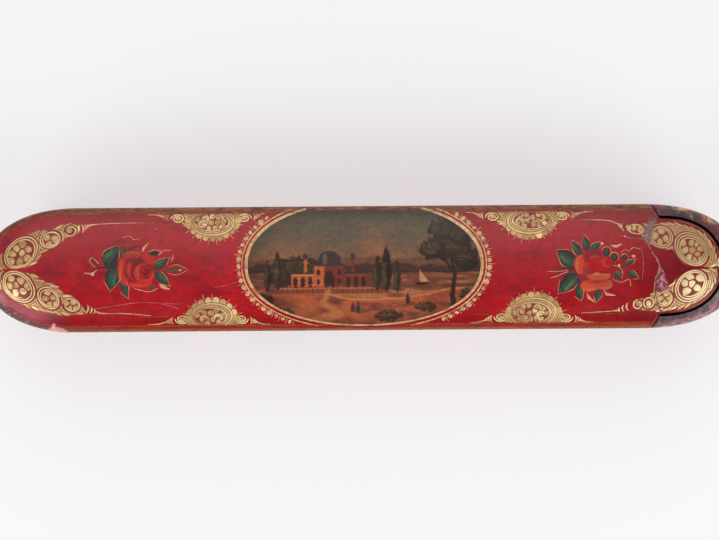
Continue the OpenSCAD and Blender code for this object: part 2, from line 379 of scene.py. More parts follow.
def weathering_and_painted_light(look, colour):
    """Age of the sleeve's varnish, with painted light: a painted pale reflection over the far half, dark at
    the front, a deeper red along the near edge as painted shade, browner streaks along the far edge, a
    painted highlight at the near corner of the back end, and smudges at the back.
    """
    top = look.slope("Z", 25.5, 28.5)
    streaky_highlight = look.grains((7, 2, 2), 0.36, 0.6, 1, 4, least=0.35)
    dirty = look.grains(1.6, 0.4, 0.6, 0.8, 4, least=0.1)
    smudge = (84, 40, 62)
    return scuffed(look, look.layers(colour, (
        # Painted reflection: pale mauve over the top, stronger on the far half, for the bright backdrop
        # mirrored in the varnish.
        ((178, 112, 114), top, look.slope("Y", -10, 11, 0.13, 0.02)),
        ((102, 10, 22), look.slope("X", 66, 95, 0.84)),
        # Painted shade: a deeper, darker red along the near edge of the top.
        ((120, 12, 8), top, look.slope("Y", -12.5, -16.5, 0.5)),
        ((134, 74, 62), top, look.slope("Y", 14.8, 16.8, 0.55), ((6, 2, 2), 0.36, 0.6, 1, 4, 0.55, 0.4)),
        # Painted highlight: mauve and pale streaks at the near corner of the back end.
        ((164, 96, 118), look.spot((-104, -13.5, 31), (15, 5.5, 9), 0.2, 0.6), streaky_highlight),
        ((204, 168, 176), look.spot((-112, -9.5, 31), (5, 5.5, 9), 0.2, 0.7), streaky_highlight),
        (smudge, look.spot((-97, -3.4, 37), (5, 2.4, 9), 0.1, 0.9), dirty),
        (smudge, look.spot((-106.5, 8.6, 34), (5, 2.6, 9), 0.1, 0.9), dirty),
        (smudge, look.spot((-92, -15.4, 33), (4, 2, 9), 0.1, 0.9), dirty),
    )))


def lacquer_look(name, deep, bright, haze, dark, worn=False):
    """Old lacquer: clouded colour, brush streaks along the case, fine cracks and a soft gloss."""
    look = Look(name)
    colour = look.layers(deep, (
        (bright, (24, 0.38, 0.62)),
        (dark, ((9, 5, 5), 0.52, 0.68, 0.55, 5)),
        (dark, ((30, 1.3, 3), 0.52, 0.74, 0.4)),
        (haze, (12, 0.52, 0.7, 0.5, 5)),
        (dark, (1.8, 0.5, 0.7, 0.5, 4, 0.6)),
        (dark, (0.55, 0.42, 0.7, 0.35, 2)),
        ((62, 22, 28), (1.1, 0.68, 0.76, 0.6, 3, 0.7)),
        (dark, look.cracks(7, 0.1), (15, 0.45, 0.6, 0.5)),
    ))
    # Weathering with painted light: wear and smudges, with a painted reflection, shade and highlight.
    if worn:
        colour = weathering_and_painted_light(look, colour)
    return look.finish(colour, (0.22, 0.36, 5, 4), (0.25, 0.05, 2.5, 4), gloss=0.24)


def gold_look(name, deep, bright):
    """Fine lines of painted gold: uneven, rubbed through to brown in places."""
    look = Look(name)
    rows = ((bright, (1.2, 0.35, 0.65)), ((150, 88, 66), (3.5, 0.52, 0.68, 0.75, 4)))
    colour = scuffed(look, look.layers(deep, rows))
    return look.finish(colour, (0.34, 0.52, 2), (0.3, 0.02, 0.4), metal=0.35)


def gilding_look():
    """Gold laid over dark red and cut through by its lines, in the colours laid on the mesh."""
    look = Look("gilding")
    painted = look.painted()
    green = look.node("SeparateColor", {"Color": painted}).outputs["Green"]
    gold = look.level(green, 0.08, 0.32)
    colour = look.layers(painted, (
        ((140, 98, 66), gold, (2.6, 0.5, 0.7, 0.5, 4)),
        ((124, 78, 52), gold, (0.3, 0.42, 0.7, 0.35, 2)),
        # Duller gold over the far band of the tongue, and a painted highlight in pale gold on its near band.
        ((156, 130, 84), gold, look.spot((96, 9, 33), (22, 9, 20), 0.6, 0.6)),
        ((248, 236, 184), gold, look.spot((100, -6, 34), (8, 6, 20), 0.4, 0.6)),
    ))
    metal = look.level(gold, 0, 1, 0.0, 0.4)
    return look.finish(scuffed(look, colour), (0.32, 0.5, 1.5), (0.3, 0.02, 0.5), metal=metal)


def edge_band_look():
    """Brown gold of the rolled edge: gilt and ruled lower down, worn in streaks, red along the near side."""
    look = Look("edge_gold")
    gilt = look.mix((148, 100, 52), (206, 164, 96), (1.4, 0.36, 0.62, 1, 4))
    red = look.mix((122, 14, 8), (164, 22, 10), ((8, 1, 1), 0.4, 0.6, 1, 4))
    strip = [look.slope("Z", 31.1, 31.7), look.slope("Z", 32.5, 32.4), look.slope("Y", -16, -17)]
    ruled = [((96, 16, 22), look.spot((0, 0, height), (FAR, FAR, 0.3), 0.6, 0.9)) for height in (26.1, 29.7)]
    corner = look.spot((-107, -14, 29), (17, 9, 12), 0.5)
    colour = look.layers((126, 76, 52), (
        ((164, 114, 74), ((3.4, 1.6, 1.6), 0.38, 0.62, 1, 4)),
        ((104, 52, 46), ((6, 2, 2), 0.54, 0.66, 1, 4)),
        ((142, 68, 20), look.slope("Y", 4, -16, 0.75)),
        (gilt, look.slope("Z", 30.4, 29.4, 0.85)),
        ((118, 22, 24), ((2.6, 1.1, 1.1), 0.5, 0.6, 0.8, 5, 0.65)),
        *ruled,
        (red, *strip, look.slope("X", -92, -76, 0.92), look.slope("X", 84, 70, 1, 0.3)),
        ((120, 36, 36), look.slope("X", -84, -100), ((5, 3, 3), 0.36, 0.56, 0.9, 4, 0.55, 0.2)),
        # Grey wear at the near corner of the back end, with pale flecks on it as painted highlights.
        ((92, 74, 72), corner, ((3, 1.2, 1.2), 0.4, 0.52, 0.9, 4, 0.7, 0.3)),
        ((170, 146, 140), corner, ((1.6, 0.8, 0.8), 0.56, 0.64, 1, 3, 0.7)),
        ((70, 50, 46), ((4, 1, 1), 0.6, 0.7, 0.8, 4)),
    ))
    return look.finish(colour, (0.4, 0.6, 2), metal=0.1, gloss=0.12)


def paint_look():
    """Miniature painting under varnish, in the colours laid on the mesh."""
    look = Look("miniature_paint")
    colour = look.mix(look.painted(), (62, 36, 34), (0.35, 0.35, 0.7, 0.35, 2))
    return look.finish(colour, (0.3, 0.45, 4), (0.2, 0.04, 1.5, 4), gloss=0.34)


def worn_and_lit_head_look():
    """Head's lacquer: red walls, worn round the top to dark on the far side and mauve on the near one, the
    mauve partly a painted sheen; painted shade beside the gap round the tongue and at the seam.
    """
    look = Look("head_lacquer")
    far = look.layers((58, 40, 40), (
        ((146, 30, 36), (5, 0.48, 0.56, 1, 4)),
        ((140, 70, 48), (3, 0.56, 0.62, 1, 4)),
    ))
    # Near part: mauve that is partly rubbed lacquer and partly a painted sheen, with pale flecks.
    near = look.layers((116, 54, 66), (
        ((176, 112, 122), (2.2, 0.42, 0.6, 1, 4)),
        ((84, 62, 62), (4, 0.56, 0.64, 1, 4)),
        ((216, 176, 178), (0.8, 0.56, 0.66, 0.7, 3, 0.7)),
        ((78, 40, 48), (0.7, 0.56, 0.66, 0.7, 3, 0.7)),
    ))
    wall = look.layers((132, 12, 24), (
        ((166, 16, 24), (16, 0.38, 0.62)),
        ((86, 14, 24), (3, 0.5, 0.64, 0.7, 5)),
        ((58, 28, 30), (1.4, 0.6, 0.68, 0.8, 4, 0.7)),
        ((150, 92, 100), (2, 0.66, 0.71, 0.7, 3, 0.7)),
    ))
    gap = look.spot((ROOT_X, 0, 35), (TONGUE_L, TONGUE_W / 2, FAR), 1.13, rim=1.27)
    bare = look.grains(1.8, 0.42, 0.56, 1, 4)
    ragged = look.math("ADD", look.along("Z"), look.grains(4, 0.3, 0.7, 4 * MM, 5, 0.6, -4 * MM))
    colour = look.layers(near, (
        (far, look.slope("Y", -4, 6)),
        ((54, 44, 44), (1.6, 0.6, 0.66, 0.9, 4)),
        ((206, 148, 112), (2.4, 0.62, 0.67)),
        # Painted shade: dark beside the gap round the tongue.
        ((48, 38, 38), gap, (2, 0.3, 0.6, 1, 4, 0.55, 0.6)),
        ((224, 160, 112), look.spot((97.5, 17.8, 30), (4, 1.6, 9), 0.3), bare),
        ((224, 160, 112), look.spot((107.5, 14.2, 30), (5, 2, 9), 0.3), bare),
        (wall, look.level(ragged, 27 * MM, 24 * MM)),
        # Painted shade: dark at the head's end beside the seam.
        ((34, 22, 24), look.slope("X", 88.6, 90.2, 0, 0.85)),
    ))
    return look.finish(colour, (0.34, 0.58, 2, 4), (0.5, 0.08, 0.9, 4))


def brass_look():
    """Cast brass, tarnished in patches."""
    look = Look("brass")
    rows = (((212, 176, 108), (3, 0.35, 0.65)), ((96, 72, 44), (1.4, 0.58, 0.7, 0.8, 4)))
    return look.finish(look.layers((176, 136, 74), rows), (0.25, 0.5, 1, 4), metal=1.0)


def reed_look():
    """Reed with long grain, stained by ink towards the nib."""
    look = Look("reed")
    ink = (look.slope("X", 52, 66), (2, 0.2, 0.5, 1, 3, 0.55, 0.6))
    rows = (((178, 124, 70), ((40, 0.5, 0.5), 0.35, 0.65)), ((30, 24, 24), *ink))
    return look.finish(look.layers((126, 78, 40), rows), (0.35, 0.55, 2), (0.3, 0.04, (20, 0.3, 0.3)))


def scratch_look():
    """Pale bottom of a scratch through the lacquer."""
    look = Look("scratch")
    return look.finish(look.mix((140, 60, 66), (196, 140, 132), ((3, 1, 1), 0.35, 0.65)), (0.5, 0.7, 1))


def silk_look():
    """Silk floss soaked with ink."""
    look = Look("inked_silk")
    colour = look.mix((14, 13, 17), (52, 46, 50), (1.5, 0.35, 0.65, 1, 4))
    return look.finish(colour, (0.35, 0.8, 0.8), (0.6, 0.1, 0.35, 3))


RED = lacquer_look("red_lacquer", (160, 10, 24), (184, 16, 22), (150, 32, 48), (102, 10, 22), True)
INSIDE_RED = lacquer_look("drawer_lacquer", (128, 28, 32), (146, 36, 36), (116, 44, 46), (92, 24, 26))
WORN_AND_LIT_RED = worn_and_lit_head_look()
GOLD = gold_look("gold_paint", (184, 144, 98), (220, 188, 136))
SPRAY_GOLD = gold_look("spray_gold", (186, 132, 98), (220, 172, 126))
GILDING = gilding_look()
EDGE_GOLD = edge_band_look()
PAINT = paint_look()
BRASS = brass_look()
REED = reed_look()
SILK = silk_look()
SCRATCH = scratch_look()

# Sleeve

EDGE_R = 0.35
TONGUE_STEPS = 32
TONGUE_RUN = 24
SHOULDER_STEPS = 18
WALL_STEPS = 8
FOOT_STEPS = 6
BASE_STEPS = 8
BACK_STEPS = 56
BODY_STEP = 1.6
SEAM_ZONE = 4.0
SEAM_STEPS = 10


def seam_end(y):
    """Where the sleeve ends along X, for a distance from the middle line."""
    half = TONGUE_W / 2
    return np.where(y <= half, ROOT_X, ROOT_X - SEAM_SLANT * (y - half) / (HALF_W - half))


def tongue_end(y):
    """Where the tongue ends along X, for a distance from the middle line."""
    share = np.clip(np.abs(y) / (TONGUE_W / 2), 0, 1)
    return ROOT_X + TONGUE_L * (1 - share ** TONGUE_POWER) ** (1 / TONGUE_POWER)


def rounded_edge(gap):
    """How far a rounded edge falls back at a distance from it."""
    near = np.clip(EDGE_R - gap, 0, EDGE_R)
    return EDGE_R - np.sqrt(EDGE_R ** 2 - near ** 2)


def half_section(wide, inner):
    """Half a section from the crown's middle to the base's middle, as side distances and heights.

    A height on the crown is left to the surface, and isn't a number here."""
    half_tongue = TONGUE_W / 2
    turn = math.acos((half_tongue / wide) ** (CROWN_POWER / 2))
    shoulder = wide * np.cos(np.linspace(turn, 0, SHOULDER_STEPS + 1)[1:]) ** (2 / CROWN_POWER)
    crown = np.concatenate([np.linspace(0, half_tongue, TONGUE_STEPS + 1), shoulder])
    floor = WALL if inner else 0.0
    foot = WALL if inner else FOOT_R
    steps = WALL_STEPS + FOOT_STEPS if inner else WALL_STEPS
    angles = [] if inner else np.linspace(math.pi / 2, 0, FOOT_STEPS + 1)[1:]
    side = np.concatenate([crown, np.full(steps, wide), wide - FOOT_R * (1 - np.sin(angles))])
    height = [np.full_like(crown, math.nan), np.linspace(SHOULDER_Z, foot, steps + 1)[1:]]
    height += [FOOT_R * (1 - np.cos(angles)), np.full(BASE_STEPS, floor)]
    base = side[-1] * np.linspace(1, 0, BASE_STEPS + 1)[1:]
    return np.concatenate([side, base]), np.concatenate(height)


def sleeve_skin(inner):
    """The sleeve's skin as columns along its outline, and the tongue's skin on each side."""
    inset = WALL if inner else 0.0
    drop = ROOF_T if inner else 0.0
    wide = HALF_W - inset
    side, height = half_section(wide, inner)
    share = side / wide

    def column(x, y):
        return np.stack([x, y, np.where(np.isnan(height), crown_z(x, y, inset, drop), height)], 1)

    start = SEAM_X - SEAM_ZONE
    body = np.linspace(-MID_X, start, int((start + MID_X) / BODY_STEP))[1:]
    tail = 1 - (1 - np.linspace(0, 1, SEAM_STEPS + 1)[1:]) ** 2
    sides = []
    for sign in (-1, 1):
        part = [column(np.full_like(side, x), sign * side) for x in body]
        for f in tail:
            x = start + f * (seam_end(side) - start)
            over = np.maximum(x - MID_X, 0) / END_L
            part.append(column(x, sign * side * (1 - over ** END_POWER) ** (1 / END_POWER)))
        sides.append(part)
    back = []
    for angle in np.linspace(-math.pi / 2, math.pi / 2, BACK_STEPS + 1):
        reach, across = oval_point(angle, END_L - inset, wide, END_POWER)
        back.append(column(-MID_X - share * reach, share * across))
    skin = np.array(sides[0][::-1] + back + sides[1])

    y = side[:TONGUE_STEPS + 1]
    run = 1 - (1 - np.linspace(0, 1, TONGUE_RUN + 1)) ** 2
    x = ROOT_X + run[:, None] * (tongue_end(y) - ROOT_X)
    z = crown_z(x, y[None, :], inset, drop)
    if not inner:
        z = z - rounded_edge(tongue_end(y) - x)
    tongues = [np.stack([x, np.broadcast_to(sign * y, x.shape), z], 2) for sign in (-1, 1)]
    return skin, tongues


def build_sleeve():
    """Outer and inner skin of the sleeve, joined along the tongue's edge and the seam."""
    outer, outer_tongues = sleeve_skin(False)
    inner, inner_tongues = sleeve_skin(True)
    skins = [outer, inner, *outer_tongues, *inner_tongues]
    skins += [np.stack([outer_tongues[k][-1], inner_tongues[k][-1]]) for k in (0, 1)]
    skins += [np.stack([outer[k][TONGUE_STEPS:], inner[k][TONGUE_STEPS:]]) for k in (0, -1)]
    faces = []
    count = 0
    for skin in skins:
        faces.extend(grid_faces(*skin.shape[:2]) + count)
        count += skin.size // 3
    verts = np.concatenate([skin.reshape(-1, 3) for skin in skins])
    sleeve = new_object("sleeve", verts, faces, RED, merge=0.004)
    piece(sleeve, "sleeve", "red_lacquer", "sleeve_shell")


build_sleeve()


# Curves for the ornament, in the plan of the surface that they lie on

SPLINE_STEPS = 8
SPIRAL_STEP = 9
AHEAD_STEP = 0.1


def turned(points, degrees):
    """Points turned about the origin."""
    a = math.radians(degrees)
    spin = np.array([[math.cos(a), math.sin(a)], [-math.sin(a), math.cos(a)]])
    return np.asarray(points) @ spin


def spiral(centre, rx, ry, start, sweep, shrink=1.0, turn=0.0):
    """Oval arc that winds inwards to a share of its size. Angles are in degrees."""
    steps = max(8, int(abs(sweep) / SPIRAL_STEP))
    angles = np.radians(np.linspace(start, start + sweep, steps + 1))
    scale = np.linspace(1, shrink, steps + 1)
    flat = np.stack([rx * scale * np.cos(angles), ry * scale * np.sin(angles)], 1)
    return turned(flat, turn) + centre


def spline(points, steps=SPLINE_STEPS):
    """Smooth curve through points."""
    p = np.asarray(points, float)
    p = np.vstack([2 * p[0] - p[1], p, 2 * p[-1] - p[-2]])
    t = np.linspace(0, 1, steps, endpoint=False)[:, None]
    parts = []
    for a, b, c, d in zip(p, p[1:], p[2:], p[3:]):
        bend = (2 * a - 5 * b + 4 * c - d) * t ** 2 + (3 * b - a - 3 * c + d) * t ** 3
        parts.append(b + 0.5 * ((c - a) * t + bend))
    return np.vstack([*parts, p[-2:-1]])


def closed(points):
    """Smooth closed curve through points, without its first point again at the end."""
    points = [tuple(p) for p in points]
    around = points[-2:] + points + points[:3]
    return spline(around)[2 * SPLINE_STEPS:-2 * SPLINE_STEPS - 1]


def spread(values, count):
    """A value for each of a number of points, from one value or a few at even steps along them."""
    return np.interp(np.linspace(0, 1, count), np.linspace(0, 1, np.size(values)), np.atleast_1d(values))


def stretches(path, kept):
    """Stretches of a path whose points are kept."""
    cuts = np.flatnonzero(np.diff(kept.astype(int))) + 1
    return [part for part, keep in zip(np.split(path, cuts), np.split(kept, cuts)) if keep[0]]


def along_path(path, step):
    """Points at even steps along a path, with the directions there."""
    run = run_along(path)
    for r in np.arange(step / 2, run[-1], step):
        spot = at_run(path, run, r)
        ahead = at_run(path, run, r + AHEAD_STEP) - spot
        yield spot, ahead / max(np.linalg.norm(ahead), 1e-6)


# Raised lines and dots

PROUD = 0.05
SINK = 0.03
STROKE_PROFILE = ((-0.5, -SINK), (-0.28, PROUD), (0.28, PROUD), (0.5, -SINK))
DOT_PROFILE = ((1.0, -SINK), (0.78, PROUD), (0.35, 1.5 * PROUD))
DOT_SIDES = 12


class Relief:
    """Strokes and dots of paint that stand a little proud of a surface."""

    def __init__(self, surface):
        self.surface = surface
        self.points = []
        self.faces = []
        self.count = 0

    def add(self, points, faces):
        self.points.append(points.reshape(-1, 3))
        self.faces.extend([[v + self.count for v in f] for f in faces])
        self.count += len(self.points[-1])

    def stroke(self, path, width):
        """Line along a path, with one width or a few spread along it."""
        path = np.asarray(path, float)
        along = np.gradient(path, axis=0)
        along /= np.linalg.norm(along, axis=1, keepdims=True)
        across = np.stack([along[:, 1], -along[:, 0]], 1)
        wide = spread(width, len(path))[:, None]
        rows = [self.surface(path + across * wide * f, h) for f, h in STROKE_PROFILE]
        self.add(np.stack(rows, 1), grid_faces(len(path), len(rows)))

    def curve(self, points, width, steps=SPLINE_STEPS):
        """Smooth line through points."""
        self.stroke(spline(points, steps), width)

    def dot(self, centre, rx, ry=None, turn=0.0):
        """Round or oval drop of paint."""
        angles = np.linspace(0, 2 * math.pi, DOT_SIDES, endpoint=False)
        ring = np.stack([rx * np.cos(angles), (ry or rx) * np.sin(angles)], 1)
        rings = [self.surface(turned(ring * f, turn) + centre, h) for f, h in DOT_PROFILE]
        faces = []
        for first in DOT_SIDES * np.arange(len(rings) - 1):
            for k in range(DOT_SIDES):
                a, b = first + k, first + (k + 1) % DOT_SIDES
                faces.append([a, b, b + DOT_SIDES, a + DOT_SIDES])
        faces.append(range((len(rings) - 1) * DOT_SIDES, len(rings) * DOT_SIDES))
        self.add(np.stack(rings), faces)

    def build(self, name, material, slot="red_lacquer", body="sleeve"):
        piece(new_object(name, np.concatenate(self.points), self.faces, material), body, slot)


# Painted pictures

BLACK = (0, 0, 0)
LACQUER = (146, 24, 34)
NOISE_CELLS = 64
NOISE_SHIFT = (31.7, 31.3)
NOISE_OCTAVES = range(4)
LEAF_POWER = 0.8
LEAF_STEEP = 0.9
LINE_REACH = 1.5
FLATTEST = 0.3


def lattice_noise(x, y, grain, seed):
    """Smooth random value from 0 to 1 over a plan, with grains of a size."""
    table = np.random.default_rng(seed).random((NOISE_CELLS, NOISE_CELLS))
    u, v = x / grain + NOISE_SHIFT[0], y / grain + NOISE_SHIFT[1]
    i, j = np.floor(u).astype(int), np.floor(v).astype(int)
    s, t = u - i, v - j
    s, t = s * s * (3 - 2 * s), t * t * (3 - 2 * t)
    i, j, next_i, next_j = i % NOISE_CELLS, j % NOISE_CELLS, (i + 1) % NOISE_CELLS, (j + 1) % NOISE_CELLS
    near = table[i, j] * (1 - s) + table[next_i, j] * s
    far = table[i, next_j] * (1 - s) + table[next_i, next_j] * s
    return near * (1 - t) + far * t


def clouds(x, y, grain, seed):
    """Smooth random value from 0 to 1, with ever finer and fainter grains."""
    total = sum(lattice_noise(x, y, grain / 2 ** k, seed + k) / 2 ** k for k in NOISE_OCTAVES)
    return total / sum(1 / 2 ** k for k in NOISE_OCTAVES)


class Canvas:
    """Plan of painted colours, mixed where shapes overlap, that becomes a skin on a surface."""

    def __init__(self, low, high, step, ground):
        x = np.arange(low[0], high[0] + step, step)
        y = np.arange(low[1], high[1] + step, step)
        self.x, self.y = np.meshgrid(x, y)
        self.colour = np.tile(srgb(*ground), (*self.x.shape, 1))
        self.edge = np.full(self.x.shape, FAR)
        self.raised = np.zeros(self.x.shape)

    def clouds(self, grain, seed):
        return clouds(self.x, self.y, grain, seed)

    def local(self, centre, turn):
        """Coordinates from a centre, turned so that X runs along a direction in degrees."""
        a = math.radians(turn)
        dx, dy = self.x - centre[0], self.y - centre[1]
        return dx * math.cos(a) + dy * math.sin(a), dy * math.cos(a) - dx * math.sin(a)

    def oval(self, centre, rx, ry, turn=0.0):
        """Distance to an oval's edge, less than zero inside it."""
        u, v = self.local(centre, turn)
        share = np.maximum(np.hypot(u / rx, v / ry), 1e-6)
        slope = np.maximum(np.hypot(u / rx ** 2, v / ry ** 2), 1e-6 / max(rx, ry))
        return share * (share - 1) / slope

    def leaf(self, root, tip, width):
        """Distance to the edge of a pointed leaf."""
        root, tip = np.array(root), np.array(tip)
        length = np.linalg.norm(tip - root)
        u, v = self.local(root, math.degrees(math.atan2(*(tip - root)[::-1])))
        half = width / 2 * np.sin(math.pi * np.clip(u / length, 0, 1) ** LEAF_POWER) ** LEAF_POWER
        return np.maximum(np.abs(v) - half, np.abs(u - length / 2) - length / 2) * LEAF_STEEP

    def line(self, points, width):
        """Distance to the edge of a line, with one width or a few spread along it."""
        points = np.asarray(points, float)
        reach = np.max(width) / 2 + LINE_REACH
        low, high = points.min(0) - reach, points.max(0) + reach
        cols = slice(*np.searchsorted(self.x[0], (low[0], high[0])))
        rows = slice(*np.searchsorted(self.y[:, 0], (low[1], high[1])))
        x, y = self.x[rows, cols], self.y[rows, cols]
        halves = spread(width, len(points)) / 2
        best = np.full(x.shape, FAR)
        for a, b, half, next_half in zip(points, points[1:], halves, halves[1:]):
            d = b - a
            t = np.clip(((x - a[0]) * d[0] + (y - a[1]) * d[1]) / (d @ d + 1e-9), 0, 1)
            away = np.hypot(x - a[0] - t * d[0], y - a[1] - t * d[1])
            best = np.minimum(best, away - half - t * (next_half - half))
        distance = np.full(self.x.shape, FAR)
        distance[rows, cols] = best
        return distance

    def polygon(self, points):
        """Distance to a polygon's edge, less than zero inside it."""
        points = np.asarray(points, float)
        ring = np.vstack([points, points[:1]])
        inside = np.zeros(self.x.shape, bool)
        for (ax, ay), (bx, by) in zip(ring, ring[1:]):
            crosses = (ay > self.y) != (by > self.y)
            if ay != by:
                inside ^= crosses & (self.x < (bx - ax) * (self.y - ay) / (by - ay) + ax)
        away = self.line(ring, 0.0)
        return np.where(inside, -away, away)

    def value(self, field, spot):
        """Value of a field at the grid point that is nearest to a spot."""
        col = np.argmin(np.abs(self.x[0] - spot[0]))
        row = np.argmin(np.abs(self.y[:, 0] - spot[1]))
        return field[row, col]

    def paint(self, distance, colour, soft=0.2, share=1.0, shape=False, raised=None):
        """Lays a colour inside a distance, softly at the edge. A shape also belongs to the outline."""
        cover = np.clip(0.5 - distance / soft, 0, 1) * share
        tone = srgb(*colour) if len(np.shape(colour)) == 1 else colour
        self.colour += cover[..., None] * (tone - self.colour)
        if raised is not None:
            self.raised += cover * (raised - self.raised)
        if shape:
            self.edge = np.minimum(self.edge, distance)

    def build(self, name, material, lift, relief=0.0, surface=on_crown):
        """Skin inside the painted outline, with its rim drawn in to the outline."""
        edge = self.edge
        slope_y, slope_x = np.gradient(edge, self.y[:, 0], self.x[0])
        steep = np.maximum(np.hypot(slope_x, slope_y), FLATTEST) ** 2
        over = np.where(edge > 0, edge, 0)
        plan = np.stack([self.x - over * slope_x / steep, self.y - over * slope_y / steep], -1)
        height = np.where(edge > 0, -SINK, lift + relief * self.raised)
        quads = grid_faces(*edge.shape)
        quads = quads[(edge.ravel()[quads] < 0).any(1)]
        used, faces = np.unique(quads, return_inverse=True)
        verts = surface(plan.reshape(-1, 2)[used], height.ravel()[used])
        colours = np.clip(self.colour.reshape(-1, 3)[used], 0, 1)
        obj = new_object(name, verts, faces.reshape(-1, 4), material, colours)
        piece(obj, "sleeve", "red_lacquer")


# Gilding

GILT = (204, 170, 108)
GILT_PALE = (234, 210, 148)
GILT_DIM = (176, 138, 86)
GILT_GROUND = (126, 28, 32)
GILT_STEP = 0.1
GILT_SOFT = 0.16
GILT_LIFT = 0.02
GILT_RELIEF = 0.05
EDGE_GAP = 0.16
WIND_PITCH = 0.58
ECHO_PITCH = 0.66
ECHO_COUNT = 6
BERRY_TRIES = 400
BERRY_GAP = 0.44
FRINGE_STEP = 2.3
BORDER_Y = 16.8
BAND_MARGIN = 1.6


def gilded(canvas, distance, tone=GILT):
    """Lays raised gold inside a distance."""
    canvas.paint(distance, tone, GILT_SOFT, shape=True, raised=1.0)


def incised(canvas, distance, share=1.0):
    """Lays the dark ground bare inside a distance."""
    canvas.paint(distance, GILT_GROUND, GILT_SOFT, share, raised=0.0)


def outlined(canvas, distance, tone=GILT):
    """Lays raised gold with a dark edge round it."""
    incised(canvas, distance - EDGE_GAP)
    gilded(canvas, distance, tone)


def gilt_tone():
    return (GILT, GILT, GILT_PALE, GILT_DIM)[rng.integers(4)]


def berries(canvas, centre, rx, ry, turn, size):
    """Drops of gold set close together in an oval, with thin dark gaps between them."""
    room = np.maximum(np.array([rx, ry]) - 0.75 * size, 0.05)
    spots = []
    for tries in range(BERRY_TRIES):
        spot = rng.uniform(-1, 1, 2) * room
        apart = size * (2.1 - 0.6 * tries / BERRY_TRIES)
        if np.sum((spot / room) ** 2) < 1 and all(np.hypot(*(spot - other)) > apart for other in spots):
            spots.append(spot)
    places = [np.array(centre) + turned(spot, turn) for spot in spots]
    away = [np.hypot(canvas.x - x, canvas.y - y) for x, y in places]
    inside = canvas.oval(centre, rx, ry, turn) + 0.1
    for k, place in enumerate(places):
        walls = [(away[k] - other + BERRY_GAP) / 2 for n, other in enumerate(away) if n != k]
        wide, tall = size * rng.uniform(1.0, 1.3), size * rng.uniform(0.85, 1.05)
        bulge = canvas.oval(place, wide, tall, rng.uniform(0, 180))
        gilded(canvas, np.maximum.reduce([bulge, inside, *walls]), gilt_tone())
        lit = place + rng.uniform(-0.3, 0.3, 2) * size
        canvas.paint(canvas.oval(lit, 0.5 * size, 0.3 * size, rng.uniform(0, 180)), GILT_PALE, 0.4, 0.6)
        if rng.random() < 0.3:
            curl = spiral(place, 0.6 * size, 0.5 * size, rng.uniform(0, 360), 250, 0.5)
            incised(canvas, canvas.line(curl, 0.2), 0.9)


def lobe(canvas, centre, rx, ry, turn, start, sweep, size):
    """Round scroll: a gold line that winds inwards, drifting to one side, about a knot of berries."""
    spot = np.array(centre, float)
    incised(canvas, canvas.oval(spot, rx + 0.1, ry + 0.1, turn))
    wound = abs(sweep) / 360 * WIND_PITCH
    drift = 0.22 * wound * turned(np.array([1.0, 0.0]), rng.uniform(0, 360))
    path = spiral(spot, rx - 0.2, ry - 0.2, start, sweep, 1 - wound / min(rx, ry), turn)
    path = path + np.linspace(0, 1, len(path))[:, None] * drift
    gilded(canvas, canvas.line(path, [0.22, 0.36, 0.28, 0.38, 0.26, 0.36, 0.22]), GILT_PALE)
    berries(canvas, spot + drift, rx - wound, ry - wound, turn, size)


def fringe(canvas, outline, edge, toward):
    """Gold leaf tips in the hollows of an outline, which lean towards one end of it."""
    ring = np.vstack([outline, outline[:1]])
    area = np.sum(ring[:-1, 0] * ring[1:, 1] - ring[1:, 0] * ring[:-1, 1])
    for spot, along in along_path(ring, FRINGE_STEP):
        if canvas.value(edge, spot) < 0.6:
            continue
        out = np.sign(area) * np.array([along[1], -along[0]])
        lean = along if along @ toward > 0 else -along
        tip = spot + out * rng.uniform(0.0, 0.5) + lean * rng.uniform(1.0, 2.0)
        root = spot - out * 0.7 - lean * rng.uniform(1.0, 1.8)
        outlined(canvas, canvas.leaf(root, tip, rng.uniform(0.6, 0.9)), gilt_tone())


def leafy(canvas, outline, lobes):
    """Gold lines that echo the lobes in the corners between them, with leaf tips in the hollows."""
    around = closed(outline)
    fill = canvas.polygon(around)
    canvas.paint(fill, GILT_GROUND, GILT_SOFT, shape=True)
    edge = np.minimum.reduce([canvas.oval(*row[:4]) for row in lobes])
    for k in range(1, ECHO_COUNT + 1):
        wide = 0.14 + 0.1 * lattice_noise(canvas.x, canvas.y, 2.0, 5 + k)
        gilded(canvas, np.maximum(np.abs(edge - (k - 0.4) * ECHO_PITCH) - wide, fill))
    fringe(canvas, around, edge, np.array(lobes[-1][0]) - lobes[0][0])


def crescents(gold, places, heights, lean):
    """Row of shrinking crescents where a band runs out."""
    for place, height in zip(places, heights):
        path = spiral(np.array(place), height * 0.35, height * 0.55, -80, 160, 1.0, lean)
        gold.stroke(path, [0.14, 0.26 + 0.2 * height, 0.14])


def band(name, gold, outline, lobes, ends, heights, lean, tail):
    """End band: lobes in a leafy strip that runs out in crescents and a thin tail."""
    points = np.array(outline)
    canvas = Canvas(points.min(0) - BAND_MARGIN, points.max(0) + BAND_MARGIN, GILT_STEP, GILT_GROUND)
    leafy(canvas, outline, lobes)
    for row in lobes:
        lobe(canvas, *row)
    canvas.build(name, GILDING, GILT_LIFT, GILT_RELIEF)
    crescents(gold, ends, heights, lean)
    gold.curve(tail, [0.6, 0.3, 0.16])


